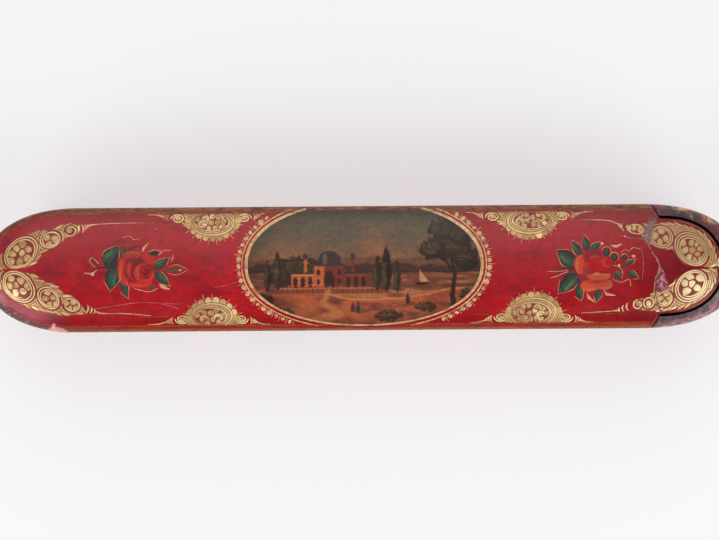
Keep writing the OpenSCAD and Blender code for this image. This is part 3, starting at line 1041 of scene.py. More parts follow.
def build_end_bands():
    """Two bands at each end. A lobe has a place, radii, a turn, its line's start and sweep, and a berry."""
    gold = Relief(on_crown)
    band(
        "gold_band_back_far", gold,
        [(-110.6, 1.2), (-109.0, 5.0), (-105.0, 9.0), (-99.6, 11.5), (-93.6, 12.6), (-89.2, 13.9),
         (-85.6, 13.4), (-85.6, 11.2), (-89.4, 9.6), (-92.0, 7.0), (-95.8, 5.8), (-98.8, 2.0), (-104.0, 0.7)],
        [((-103.2, 5.4), 6.2, 4.5, 40, 250, 720, 1.08),
         ((-94.0, 9.4), 3.5, 2.9, 15, 100, 640, 0.92),
         ((-88.0, 11.8), 2.0, 1.8, 0, 200, 330, 0.85)],
        [(-84.9, 12.5), (-84.0, 12.9), (-83.2, 13.2)], [2.2, 1.6, 1.1], 10,
        [(-83.2, 13.3), (-80.6, 13.8), (-74.6, 14.1), (-66, 14.2)])
    band(
        "gold_band_back_near", gold,
        [(-110.8, -0.9), (-109.8, -4.4), (-106.4, -8.2), (-101.2, -11.0), (-95.4, -12.5), (-88.8, -13.4),
         (-84.3, -12.7), (-84.6, -10.6), (-86.8, -8.2), (-90.0, -7.0), (-92.6, -4.6), (-97.0, -3.0),
         (-99.6, -1.0), (-105.0, -0.2)],
        [((-103.8, -4.6), 6.2, 4.4, -40, 210, 830, 1.02),
         ((-94.6, -8.4), 4.2, 3.2, -45, 60, 720, 0.88),
         ((-87.8, -10.6), 2.9, 2.3, -15, 180, -330, 0.9)],
        [(-83.6, -11.6), (-82.4, -12.0), (-81.3, -12.4)], [2.4, 1.9, 1.4], -15,
        [(-80.4, -12.6), (-78.6, -13.1), (-71.8, -13.2), (-64, -13.9)])
    band(
        "gold_band_tongue_far", gold,
        [(107.2, -0.1), (107.0, 2.7), (106.2, 5.4), (104.5, 8.1), (102.5, 10.0), (99.9, 11.4), (95.9, 12.6),
         (91.6, 12.9), (86.8, 12.6), (82.0, 12.8), (79.6, 12.2), (80.4, 10.6), (84.4, 9.4), (86.8, 6.6),
         (90.6, 5.0), (93.4, 4.8), (95.2, 2.0), (98.4, 0.0)],
        [((99.2, 4.9), 6.2, 4.7, -42, 30, 1080, 0.95),
         ((90.3, 8.7), 3.8, 3.6, -30, 190, 620, 0.95),
         ((82.6, 11.3), 3.1, 1.9, -12, 160, 330, 0.8)],
        [(79.0, 11.9), (78.0, 12.4)], [2.2, 1.4], 190,
        [(78.4, 12.2), (77.0, 12.9), (74.0, 13.9), (66.0, 14.2)])
    band(
        "gold_band_tongue_near", gold,
        [(107.0, -1.3), (106.6, -4.6), (104.7, -8.0), (100.4, -11.2), (95.2, -12.8), (88.8, -13.5),
         (83.6, -13.2), (81.4, -12.4), (82.8, -10.0), (86.0, -9.4), (88.8, -7.2), (92.0, -6.6), (94.6, -3.8),
         (98.6, -1.3), (103.4, -1.1)],
        [((99.1, -6.0), 5.9, 4.6, 40, 330, -860, 1.15),
         ((90.8, -9.8), 3.0, 2.8, 20, 40, 700, 0.8),
         ((86.2, -11.2), 2.1, 2.0, 0, 0, 420, 0.8),
         ((82.9, -11.6), 1.6, 1.7, 0, 90, 330, 0.85)],
        [(80.3, -12.2), (78.9, -12.7), (77.7, -13.1)], [2.2, 1.7, 1.2], 190,
        [(77.3, -13.3), (74.0, -13.6), (66.0, -14.0)])
    gold.build("gold_band_tails", GOLD)


def heart(canvas, centre, rx, ry, side):
    """Middle of a cartouche: a knot of berries and curled leaves in fine rings."""
    shift = np.array([rng.uniform(-0.5, 0.5), side * 0.2])
    for ring, tone in ((0.0, GILT_PALE), (0.55, GILT), (1.1, GILT_PALE)):
        oval = canvas.oval(centre + ring * shift, rx - ring, ry - ring)
        incised(canvas, oval)
        gilded(canvas, oval + 0.24, tone)
    knot = centre + 1.6 * shift
    incised(canvas, canvas.oval(knot, rx - 1.6, ry - 1.5))
    berries(canvas, knot, rx - 1.6, ry - 1.5, 0, 0.8)
    first = rng.uniform(0, 90)
    for angle in np.radians(first + np.array([0, 100, 170, 280])):
        spot = knot + (0.46 * rx * math.cos(angle), 0.36 * ry * math.sin(angle))
        sweep = rng.choice((-1, 1)) * rng.uniform(200, 330)
        path = spiral(spot, 0.24 * rx, 0.36 * ry, rng.uniform(0, 360), sweep, 0.4)
        outlined(canvas, canvas.line(path, [0.2, 0.9, 0.6, 0.5]), gilt_tone())


def volute(canvas, gold, root, curl, end, way, side):
    """Curl beside a cartouche, with the leafy neck that carries it, crescents and a tail."""
    curl = np.array(curl)
    for n in range(3):
        start = root + (0, side * (0.6 - 1.3 * n))
        stop = curl + (-way * 0.8, side * (1.1 - 1.0 * n))
        bend = (start + stop) / 2 + (0, side * (0.3 - 0.3 * n))
        outlined(canvas, canvas.line(spline([start, bend, stop]), [1.1, 0.6, 0.4]), gilt_tone())
        tip = bend + (way * 0.8, -side * rng.uniform(0.3, 0.8))
        outlined(canvas, canvas.leaf(start, tip, 0.9), gilt_tone())
    incised(canvas, canvas.oval(curl, 2.3, 1.6))
    path = spiral(curl, 2.1, 1.4, 90 - 90 * way, way * side * 560, 0.36)
    gilded(canvas, canvas.line(path, [0.4, 0.5, 0.4, 0.5, 0.4]), GILT_PALE)
    gilded(canvas, canvas.oval(curl, 0.75, 0.5))
    row = [curl + np.array([way * (2.5 + 0.8 * n), side * (0.4 + 0.14 * n)]) for n in range(3)]
    crescents(gold, row, [1.9, 1.5, 1.0], 0 if way > 0 else 180)
    gold.curve([row[-1], (row[-1] + end) / 2 + (0, side * 0.3), end], [0.7, 0.32, 0.18])


def cartouche(name, gold, centre, rx, ry, side, curls, ends, beads):
    """Half-round pendant of the border: a beaded gold disc with rays, cut by a ring of scrolls."""
    middle = np.array(centre)
    far_y = centre[1] - side * (ry + 1.4)
    low = (curls[0][0] - 2.8, min(side * BORDER_Y, far_y))
    high = (curls[1][0] + 2.8, max(side * BORDER_Y, far_y))
    canvas = Canvas(low, high, GILT_STEP, GILT_GROUND)
    beyond = side * canvas.y - BORDER_Y
    for way, curl, end in zip((-1, 1), curls, ends):
        volute(canvas, gold, middle + (way * 0.8 * rx, -side * 0.1 * ry), curl, end, way, side)
    outlined(canvas, np.maximum(canvas.oval(centre, rx - 0.2, ry - 0.2), beyond))
    core = middle - (0, side * 0.34 * ry)
    corner = np.maximum(BORDER_Y - 2.6 - side * canvas.y, canvas.oval(centre, rx - 0.3, ry - 0.3))
    for k in range(1, 4):
        ring = np.abs(canvas.oval(core, 0.84 * rx, 0.56 * ry) - 0.6 * k) - 0.13
        incised(canvas, np.maximum(ring, corner))
    start, stop = (192, 348) if side > 0 else (12, 168)
    half_step = math.radians((stop - start) / (beads - 1) / 2)
    for angle in np.radians(np.linspace(start, stop, beads)):
        out = np.array([math.cos(angle), math.sin(angle)])
        ray = np.array([math.cos(angle + half_step), math.sin(angle + half_step)])
        root = middle + ray * (rx, ry)
        size = rng.uniform(0.84, 1.04)
        bead = canvas.oval(middle + out * (rx, ry), size, 0.9 * size, math.degrees(angle) + 90)
        gilded(canvas, bead, gilt_tone())
        incised(canvas, canvas.line([root - 0.25 * ray, root + 0.9 * ray], [0.1, 0.3]), 0.8)
        gold.curve([root + 0.3 * ray, root + ray * rng.uniform(1.5, 2.2)], [0.2, 0.12], 4)
    heart(canvas, core, 0.84 * rx, 0.56 * ry, side)
    canvas.edge = np.maximum(canvas.edge, beyond)
    canvas.build(name, GILDING, GILT_LIFT, GILT_RELIEF)


def build_cartouches():
    """Four half-round pendants: centre, radii, side, curls, ends of the tails, and number of beads."""
    gold = Relief(on_crown)
    rows = (
        ((-45.1, 16.3), 8.0, 7.2, 1, [(-55.8, 15.3), (-35.6, 15.4)], [(-65, 16.6), (-29.4, 16.7)], 11),
        ((-45.4, -16.4), 7.6, 7.2, -1, [(-54.7, -15.1), (-36.8, -15.2)], [(-65, -16.6), (-28.2, -16.8)], 10),
        ((50.4, 16.2), 8.2, 7.2, 1, [(39.4, 15.2), (60.6, 15.2)], [(31.5, 16.7), (70, 16.6)], 12),
        ((51.7, -16.4), 8.4, 8.2, -1, [(41.8, -15.1), (61.4, -15.4)], [(32.6, -16.8), (70, -16.8)], 12),
    )
    for number, row in enumerate(rows, 1):
        cartouche(f"gold_cartouche_{number}", gold, *row)
    gold.build("gold_cartouche_rays", GOLD)


# Oval frame, border and vine

OVAL = (0.5, 0.95)
OVAL_A = 35.5
OVAL_UP = 19.3
OVAL_DOWN = 18.2
OVAL_POWER = 2.15
OVAL_TOP = 18.2
OVAL_STEPS = 360
BEAD_STEP = 2.2
RIM_LINE_Y = 17.1
FIELD_LINE_Y = 14.2
BORDER_STEPS = 90
BEND_STEPS = 60
FIELD_STEPS = 12
EDGE_BAND_FAR = 5.2
EDGE_BAND_NEAR = 5.7
EDGE_BAND_DOWN = 1.8
EDGE_BAND_HEM = 0.3
EDGE_BAND_LIFT = 0.03
EDGE_BAND_WIDENS = (0.59, 0.63)
EDGE_BAND_GAP = 0.4
EDGE_BAND_STEPS = 420
EDGE_BAND_ROWS = 14
VINE_HEIGHT = 14.0
VINE_WAVE = 2.6
VINE_STEP = 17.0
VINE_LINES_DOWN = (5.0, 22.0)
VINE_GAP = 0.6
VINE_STEPS = 500


def oval_path(grow):
    """Oval frame grown outwards, in stretches that stay between the rolled edges."""
    angles = np.radians(np.linspace(90, 450, OVAL_STEPS + 1))
    tall = np.where(np.sin(angles) > 0, OVAL_UP, OVAL_DOWN) + grow
    path = np.stack(oval_point(angles, OVAL_A + grow, tall, OVAL_POWER), 1) + OVAL
    return stretches(path, (path[:, 1] < OVAL_TOP) & (path[:, 1] > -RIM_LINE_Y - 0.35))


def build_oval_frame():
    """Two gold lines round the picture, with a row of beads and rays outside them."""
    gold = Relief(on_crown)
    for part in oval_path(0):
        gold.stroke(part, [0.9, 1.3, 1.1, 0.7, 0.6, 0.7, 1.1, 1.4, 0.9])
    for part in oval_path(1.3):
        gold.stroke(part, 0.42)
    for part in oval_path(2.3):
        for spot, along in along_path(part, BEAD_STEP):
            if abs(spot[1]) > RIM_LINE_Y - 0.8:
                continue
            out = np.array([along[1], -along[0]])
            size = rng.uniform(0.66, 0.98)
            gold.dot(spot, size, size * rng.uniform(0.68, 1), rng.uniform(0, 180))
            root = spot + along * BEAD_STEP / 2 - out * 0.5
            gold.curve([root, root + out * rng.uniform(1.2, 2.2)], [0.2, 0.12], 4)
    gold.build("gold_oval_frame", GOLD)


def build_border_lines():
    """Thin brown lines inside the rolled edge, and worn ones beside the ornament."""
    gold = Relief(on_crown)
    for side, gap in ((-1, 10.0), (1, 17.0)):
        straight = level_line(np.linspace(ROOT_X - 3, -MID_X, BORDER_STEPS), side * RIM_LINE_Y)
        angles = np.linspace(math.pi / 2, 0, BEND_STEPS)
        reach, across = oval_point(angles, END_L - 2, RIM_LINE_Y, END_POWER)
        path = np.vstack([straight, np.stack([-MID_X - reach, side * across], 1)[1:]])
        for part in stretches(path, np.abs(path[:, 0] - OVAL[0]) > gap):
            gold.stroke(part, 0.3)
        for start, end in ((-68, -58), (-34, -30), (32, 38), (63, 80)):
            gold.stroke(level_line(np.linspace(start, end, FIELD_STEPS), side * FIELD_LINE_Y), 0.18)
    gold.build("gold_border_lines", EDGE_GOLD)


def build_edge_band():
    """Band laid over the rolled edge of the sleeve, a little wider on the near side."""
    length = SLEEVE_EDGE.length
    run = np.linspace(EDGE_BAND_GAP, length - EDGE_BAND_GAP, EDGE_BAND_STEPS)
    up = np.interp(run, np.array(EDGE_BAND_WIDENS) * length, [EDGE_BAND_FAR, EDGE_BAND_NEAR])
    share = np.linspace(0, 1, EDGE_BAND_ROWS)[:, None]
    down = share * EDGE_BAND_DOWN - (1 - share) * up
    down = np.vstack([down[:1] - EDGE_BAND_HEM, down, down[-1:] + EDGE_BAND_HEM])
    lift = np.full(len(down), EDGE_BAND_LIFT)
    lift[[0, -1]] = -SINK
    flat = np.stack([np.broadcast_to(run, down.shape), down], -1)
    grid = SLEEVE_EDGE.over(flat, np.broadcast_to(lift[:, None], down.shape))
    band_skin = new_object("edge_band", grid.reshape(-1, 3), grid_faces(*grid.shape[:2], True), EDGE_GOLD)
    piece(band_skin, "sleeve", "red_lacquer")


def build_wall_vine(edge, name, body, slot):
    """Gold vine with leaves and berries round the walls, between two lines."""
    gold = Relief(edge.over)
    middle = SHOULDER_Z - VINE_HEIGHT
    run = np.linspace(VINE_GAP, edge.length - VINE_GAP, VINE_STEPS)
    for down in VINE_LINES_DOWN:
        gold.stroke(level_line(run, down), 0.3)
    gold.stroke(np.stack([run, middle + VINE_WAVE * np.sin(2 * math.pi * run / VINE_STEP)], 1), 0.34)
    for k, start in enumerate(np.arange(0.25 * VINE_STEP, edge.length - 4, VINE_STEP / 2)):
        way = 1 if k % 2 else -1
        root = np.array([start, middle - way * VINE_WAVE])
        curl = spiral(root + (0.5, way * VINE_WAVE), 2.5, 2.4, -90 * way, way * 400, 0.3)
        gold.stroke(curl, [0.3, 0.22])
        gold.dot(curl[-1], 0.75)
        for turn in (35, 145):
            tip = root - turned([2.2, 0], way * turn)
            gold.curve([root, (root + tip) / 2 + (0.2, 0), tip], [0.15, 0.9, 0.12], 6)
        for n in range(3):
            gold.dot(root + np.array([-1.0 + n, -way * (2.2 + 0.5 * (n == 1))]), 0.42)
    gold.build(name, GOLD, slot, body)


build_end_bands()
build_cartouches()
build_oval_frame()
build_border_lines()
build_edge_band()
build_wall_vine(SLEEVE_EDGE, "gold_wall_vine", "sleeve", "red_lacquer")
build_wall_vine(HEAD_EDGE, "gold_head_vine", "drawer", "head_lacquer")

# Roses

SPRAY_STEP = 0.11
SPRAY_LIFT = 0.03
LEAF_DARK = (34, 44, 42)
LEAF_MID = (54, 76, 58)
LEAF_LIGHT = (82, 110, 68)
LEAF_RIB = (24, 36, 36)


class Spray:
    """Painted flower with its leaves and gold lines, in places from its centre."""

    def __init__(self, centre, low, high):
        self.centre = np.array(centre)
        self.canvas = Canvas(low, high, SPRAY_STEP, LACQUER)
        self.gold = Relief(on_crown)

    def ovals(self, rows):
        """Dark spots: place, radii, turn, colour and softness."""
        for place, rx, ry, turn, colour, soft in rows:
            self.canvas.paint(self.canvas.oval(self.centre + place, rx, ry, turn), colour, soft, shape=True)

    def blades(self, rows):
        """Plain thin leaves: root, tip, width, colour and softness."""
        for root, tip, width, colour, soft in rows:
            blade = self.canvas.leaf(self.centre + root, self.centre + tip, width)
            self.canvas.paint(blade, colour, soft, shape=True)

    def twigs(self, rows):
        """Stems: points, width and colour."""
        for points, width, colour in rows:
            self.canvas.paint(self.canvas.line(self.centre + points, width), colour, 0.3, shape=True)

    def leaves(self, rows):
        """Green leaves: root, tip, width and, where they differ, light and whether they have gold lines."""
        for root, tip, *values in rows:
            self.leaf(self.centre + root, self.centre + tip, *values)

    def leaf(self, root, tip, width, light=0.6, outline=True):
        """Green leaf, lit on one side of its rib, with a broken gold line beside it."""
        canvas = self.canvas
        rough = 0.5 * (canvas.clouds(1.2, 131) - 0.5)
        canvas.paint(canvas.leaf(root, tip, width) + rough, LEAF_DARK, 0.35, shape=True)
        reach = np.linalg.norm(tip - root)
        along = (tip - root) / reach
        across = np.array([-along[1], along[0]])
        lit = canvas.leaf(root + along * 0.4 + across * width * 0.16, tip - along * 0.3, width * 0.55)
        canvas.paint(lit + 2 * rough, LEAF_MID, 0.7, 0.9)
        middle = root + (tip - root) * 0.55 + across * width * 0.16
        turn = math.degrees(math.atan2(along[1], along[0]))
        glow = canvas.oval(middle, reach * 0.24, width * 0.12, turn)
        canvas.paint(glow + 2 * rough, LEAF_LIGHT, 0.6, light)
        shade = canvas.leaf(root - across * width * 0.2, tip - along * 0.6, width * 0.3)
        canvas.paint(shade + rough, LEAF_MID, 0.5, 0.45)
        canvas.paint(canvas.line([root, root + (tip - root) * 0.85], 0.14), LEAF_RIB, 0.25, 0.7)
        if outline:
            half = width / 2 + 0.3
            end = tip + along * 0.35
            start = root + (tip - root) * 0.25 + across * half * 0.8
            self.gold.curve([start, middle + across * half * 0.62, end], [0.08, 0.22, 0.08])
            self.gold.curve([end, root + (tip - root) * 0.6 - across * half], [0.08, 0.16, 0.08])

    def buds(self, rows):
        """Round green buds with a gold arc over them: place and radii."""
        for place, rx, ry in rows:
            spot = self.centre + place
            self.canvas.paint(self.canvas.oval(spot, rx, ry), LEAF_DARK, 0.3, shape=True)
            self.canvas.paint(self.canvas.oval(spot + (0, 0.2), rx * 0.5, ry * 0.5), LEAF_MID, 0.5)
            self.gold.stroke(spiral(spot, rx + 0.35, ry + 0.35, -30, 200), [0.1, 0.24, 0.1])

    def petals(self, seed, rows):
        """Soft ovals with ragged edges, one over another: place, radii, turn and colour."""
        for k, (dx, dy, rx, ry, turn, colour) in enumerate(rows):
            wave = 1.1 * (self.canvas.clouds(2.0, seed + k) - 0.5)
            oval = self.canvas.oval(self.centre + (dx, dy), rx, ry, turn)
            self.canvas.paint(oval + wave, colour, 0.5, 0.95, shape=True)

    def brush(self, seed, rows):
        """Soft arcs of paint, one over another: place, radii, start, sweep, widths and colour."""
        for k, (dx, dy, rx, ry, start, sweep, width, colour) in enumerate(rows):
            path = spiral(self.centre + (dx, dy), rx, ry, start, sweep)
            wave = 0.7 * (self.canvas.clouds(1.4, seed + k) - 0.5)
            self.canvas.paint(self.canvas.line(path, width) + wave, colour, 0.5, 0.85)

    def lines(self, rows):
        """Gold lines: points and width."""
        for points, width in rows:
            self.gold.curve(self.centre + points, width)

    def dots(self, rows):
        """Gold dots: place, radii and turn."""
        for place, rx, ry, turn in rows:
            self.gold.dot(self.centre + place, rx, ry, turn)

    def build(self, name, gold_name):
        self.canvas.build(name, PAINT, SPRAY_LIFT)
        self.gold.build(gold_name, SPRAY_GOLD)


def build_left_rose():
    """Red rose between dark leaves, left of the oval."""
    spray = Spray((-67.9, 0.0), (-86, -9.5), (-50, 10))
    spray.ovals([
        ((-7.2, 1.6), 2.6, 1.5, 10, (66, 44, 42), 0.5),
        ((-5.6, -1.8), 1.7, 2.8, 0, (44, 42, 52), 0.5),
    ])
    spray.leaves([
        ((-9.8, 1.4), (-5.7, 7.2), 4.6),
        ((-6.8, 1.0), (-8.2, -6.2), 4.4),
        ((-4.9, -2.8), (-2.8, -8.5), 2.4, 0.3),
        ((-4.4, 3.4), (-3.6, 7.3), 2.1, 0.3, False),
        ((4.9, 0.0), (9.7, 3.5), 2.5),
        ((4.9, -0.4), (9.8, -4.8), 2.6),
    ])
    spray.ovals([((5.2, 4.9), 1.6, 0.75, 0, LEAF_DARK, 0.2), ((4.2, -5.2), 1.3, 0.9, 0, (80, 66, 46), 0.4)])
    spray.twigs([
        ([(-5.6, 1.4), (-9.0, 0.8), (-11.6, 0.6), (-14.0, -0.8)], [1.2, 0.7, 0.6, 0.4], (62, 36, 40)),
        ([(5.6, 0), (9.6, -0.1)], 0.4, LEAF_MID),
    ])
    spray.blades([
        ((-3.4, 5.6), (0.6, 7.5), 1.1, (84, 40, 54), 0.5),
        ((-11.4, 1.0), (-13.6, 3.4), 1.0, (84, 36, 38), 0.3),
        ((9.2, -0.1), (14.6, 0.1), 1.7, (104, 62, 44), 0.4),
    ])
    spray.petals(50, [
        (0.0, 0.0, 5.5, 5.6, 0, (138, 22, 28)),
        (-4.0, -0.4, 1.6, 4.2, 8, (190, 48, 34)),
        (-1.2, 4.5, 3.0, 1.4, 6, (164, 48, 40)),
        (3.6, 3.2, 2.1, 1.6, -35, (176, 48, 38)),
        (0.6, -4.4, 3.6, 1.3, 4, (188, 34, 36)),
    ])
    spray.brush(150, [
        (0.0, 0.0, 3.6, 3.8, 105, 150, [0.5, 0.9, 0.6], (112, 26, 34)),
        (0.2, 0.0, 2.8, 3.2, 115, 150, [0.8, 1.3, 0.9], (172, 32, 36)),
        (0.2, 0.6, 2.9, 2.2, 35, 115, [0.5, 1.4, 0.8], (104, 40, 46)),
        (0.8, -0.4, 2.3, 2.8, 120, 160, [0.4, 0.8, 0.5], (116, 24, 32)),
        (2.2, -0.9, 2.5, 2.5, 80, 290, [0.5, 1.1, 1.2, 1.0, 0.6], (192, 54, 42)),
        (2.3, -0.8, 1.3, 1.3, 0, 360, 1.5, (170, 26, 30)),
        (2.4, -0.6, 0.8, 0.7, 200, 250, [0.5, 0.8, 0.4], (98, 14, 22)),
        (3.5, -0.2, 0.4, 0.3, 0, 300, 0.5, (110, 18, 26)),
        (2.9, -2.4, 0.5, 0.2, 0, 300, 0.4, (108, 22, 28)),
        (-4.4, -0.6, 0.6, 3.4, 110, 140, [0.2, 0.7, 0.3], (208, 76, 50)),
        (-1.6, 0.2, 0.8, 2.6, 120, 130, [0.2, 0.6, 0.2], (196, 60, 48)),
        (0.6, -3.9, 3.0, 0.9, 200, 130, [0.3, 0.8, 0.3], (204, 66, 52)),
        (-1.0, 4.4, 2.8, 0.8, 40, 110, [0.3, 0.7, 0.3], (184, 70, 54)),
        (2.0, -0.6, 1.9, 2.0, 130, 90, [0.2, 0.6, 0.2], (210, 84, 62)),
        (4.2, -2.2, 0.7, 1.6, 250, 150, [0.3, 0.8, 0.3], (200, 72, 48)),
    ])
    bud, thin = [0.2, 0.9, 0.15], 0.2
    spray.lines([
        ([(-4.2, 9.8), (-2.2, 10.2), (-0.8, 9.1), (0.6, 9.4)], thin),
        ([(1.6, 5.4), (2.2, 6.6), (3.4, 8.0)], bud),
        ([(3.6, 5.4), (5.4, 6.0), (7.4, 5.5), (6.4, 4.4)], thin),
        ([(6.8, 4.6), (8.4, 5.8), (10.2, 5.8)], thin),
        ([(10.4, 2.3), (11.0, 4.5)], [0.15, 0.5, 0.15]),
        ([(9.6, 0.8), (12.0, 1.4), (15.0, 0.3)], thin),
        ([(9.0, -1.0), (12.0, -1.6), (15.2, -0.2)], thin),
        ([(6.6, -4.2), (7.8, -5.2), (10.0, -6.0)], [0.2, 1.3, 0.15]),
        ([(-0.8, -5.6), (1.6, -6.3), (4.0, -6.6), (6.2, -5.6)], thin),
        ([(-11.6, 1.9), (-13.4, 3.8), (-14.2, 2.6), (-12.6, 0.9)], thin),
        ([(-12.0, 0.2), (-13.6, -1.0), (-16.0, -0.8)], bud),
    ])
    spray.dots([((13.0, -0.2), 0.6, 0.35, 0), ((-13.3, -1.3), 0.6, 0.45, 30)])
    spray.build("left_rose", "gold_left_spray")


def build_right_rose():
    """Red rose with buds and more leaves, right of the oval."""
    spray = Spray((70.2, -1.4), (54, -12), (86, 11))
    spray.ovals([((-5.6, -2.6), 1.5, 1.8, 0, (48, 46, 54), 0.5)])
    spray.leaves([
        ((-5.8, 1.6), (-11.6, 6.4), 4.7),
        ((-5.6, -0.6), (-11.2, -6.6), 4.6, 0.9),
        ((-5.6, -4.4), (-4.4, -8.8), 2.6),
        ((1.1, -5.5), (0.2, -9.2), 2.1, 0.3),
        ((-4.2, 4.2), (-7.0, 9.2), 2.4, 0.5),
        ((-2.6, 6.0), (-3.1, 10.6), 2.5, 0.4),
        ((-1.6, 6.2), (1.6, 8.6), 2.1, 0.3),
    ])
    spray.buds([((3.3, 5.7), 1.1, 1.3), ((5.6, 4.1), 1.0, 1.25), ((8.7, 4.0), 0.85, 0.8)])
    spray.leaves([
        ((8.6, 1.4), (11.8, 3.4), 1.5, 0.8),
        ((5.2, -0.4), (8.2, -1.5), 1.8, 0.8, False),
        ((9.4, -0.2), (12.8, -2.2), 2.0, 0.6),
        ((5.0, -2.2), (7.8, -4.0), 1.0, 0.2, False),
    ])
    twig = (72, 42, 36)
    spray.twigs([
        ([(5.0, 0.6), (7.6, 0.8), (10.4, 2.4)], 0.5, twig),
        ([(7.6, 0.8), (8.4, 3.4)], 0.35, twig),
        ([(-6.0, 0.9), (-13.4, 1.2)], [0.9, 0.2], twig),
        ([(-6.0, 0.9), (-13.2, 0.4)], [0.7, 0.2], twig),
        ([(-6.0, 0.9), (-11.8, -1.0)], [0.7, 0.2], twig),
    ])
    spray.petals(60, [
        (0.2, -0.2, 5.6, 5.0, 0, (150, 20, 26)),
        (-0.4, 4.6, 3.0, 1.8, 4, (128, 26, 48)),
        (-4.9, 1.8, 1.6, 2.9, 6, (198, 64, 36)),
        (-1.8, -4.5, 2.8, 1.8, 0, (196, 76, 46)),
        (2.4, -4.3, 2.6, 1.3, 12, (184, 66, 50)),
        (5.0, 1.0, 1.6, 1.4, 0, (150, 18, 24)),
    ])
    spray.brush(170, [
        (-2.4, 0.8, 0.8, 1.4, 60, 240, [0.8, 1.4, 0.8], (172, 46, 38)),
        (-2.9, -0.7, 0.5, 0.6, 0, 300, [0.8, 1.2, 0.8], (126, 54, 56)),
        (0.9, 2.0, 2.2, 1.2, 0, 360, 2.2, (176, 16, 22)),
        (3.6, 2.6, 1.3, 1.2, 20, 300, [0.4, 0.9, 0.5], (194, 44, 36)),
        (3.6, 2.6, 0.5, 0.4, 0, 360, 0.9, (160, 12, 20)),
        (0.8, -0.2, 3.6, 0.5, 190, 160, [0.4, 0.9, 0.5], (140, 22, 28)),
        (0.8, -1.4, 3.0, 0.6, 180, 180, [1.0, 1.7, 1.2], (190, 84, 44)),
        (1.0, -1.2, 2.4, 0.3, 20, 140, [0.3, 0.7, 0.3], (206, 118, 72)),
        (-0.2, -2.9, 3.0, 0.4, 190, 160, [0.3, 0.8, 0.4], (166, 38, 34)),
        (-5.2, 1.9, 0.5, 2.2, 100, 160, [0.3, 0.8, 0.3], (204, 96, 56)),
        (-4.4, 3.8, 0.9, 0.7, 20, 160, [0.3, 0.7, 0.3], (200, 84, 50)),
        (-1.9, -4.9, 2.0, 0.7, 200, 140, [0.3, 0.8, 0.3], (210, 98, 60)),
        (2.6, -4.5, 2.0, 0.6, 200, 140, [0.3, 0.7, 0.3], (198, 92, 70)),
        (5.0, -4.0, 0.9, 0.5, 150, 200, [0.4, 0.8, 0.3], (150, 84, 78)),
        (0.4, 3.4, 2.4, 1.0, 40, 110, [0.3, 0.6, 0.3], (182, 40, 44)),
    ])
    bud, thin = [0.2, 1.1, 0.15], 0.2
    spray.lines([
        ([(4.6, 7.8), (6.2, 7.4), (8.0, 8.2)], bud),
        ([(5.0, 1.8), (7.0, 1.2), (8.2, -0.6), (7.8, -2.2)], thin),
        ([(7.6, 5.6), (9.0, 6.4), (10.2, 5.8)], thin),
        ([(10.4, 6.2), (11.4, 7.0), (13.4, 6.6)], thin),
        ([(5.0, -2.4), (7.6, -3.4), (10.0, -2.6), (10.6, -4.6)], thin),
        ([(2.4, -5.6), (3.4, -6.9), (6.0, -7.4)], bud),
        ([(-2.6, -6.6), (-2.0, -8.0), (-0.2, -9.4)], bud),
        ([(-8.2, 0.5), (-11.2, 0.0), (-14.6, 0.0)], thin),
        ([(-8.2, 0.1), (-11.2, -1.2), (-13.6, -2.0)], thin),
    ])
    spray.dots([((2.0, 8.3), 0.5, 0.4, 0), ((7.0, 1.6), 0.6, 0.4, 40), ((11.4, 4.4), 0.7, 0.5, 0)])
    spray.build("right_rose", "gold_right_spray")


build_left_rose()
build_right_rose()

# Landscape in the oval

PICTURE_STEP = 0.15
PICTURE_LIFT = 0.02
DABS = 500


def paint_cypress(canvas, x, y, height, colour):
    """Cypress with a ragged edge, lit on its left, over its own shadow."""
    ragged = canvas.clouds(0.8, 89) - 0.5
    canvas.paint(canvas.oval((x + 0.5, y + 0.1), height * 0.2, 0.35), (62, 40, 32), 0.5, 0.8)
    canvas.paint(canvas.leaf((x, y - 0.8), (x, y + height), height * 0.26) + ragged, colour, 0.35)
    left = x - height * 0.05
    lit = canvas.leaf((left, y), (left, y + height * 0.8), height * 0.1)
    canvas.paint(lit + 1.6 * ragged, (92, 76, 44), 0.4, 0.6)


def paint_bush(canvas, centre, rx, ry, seed, dark, lit):
    """Ragged mass of leaves, with lit clumps on its upper left."""
    coarse = canvas.clouds(1.6, seed) - 0.5
    fine = canvas.clouds(0.5, seed + 100) - 0.5
    canvas.paint(canvas.oval(centre, rx, ry) + 2.0 * coarse + 1.6 * fine, dark, 0.4, 0.95)
    crown = canvas.oval((centre[0] - 0.16 * rx, centre[1] + 0.25 * ry), rx * 0.7, ry * 0.6)
    canvas.paint(np.maximum(crown + 2 * coarse, -2.5 * fine), lit, 0.5, 0.7)


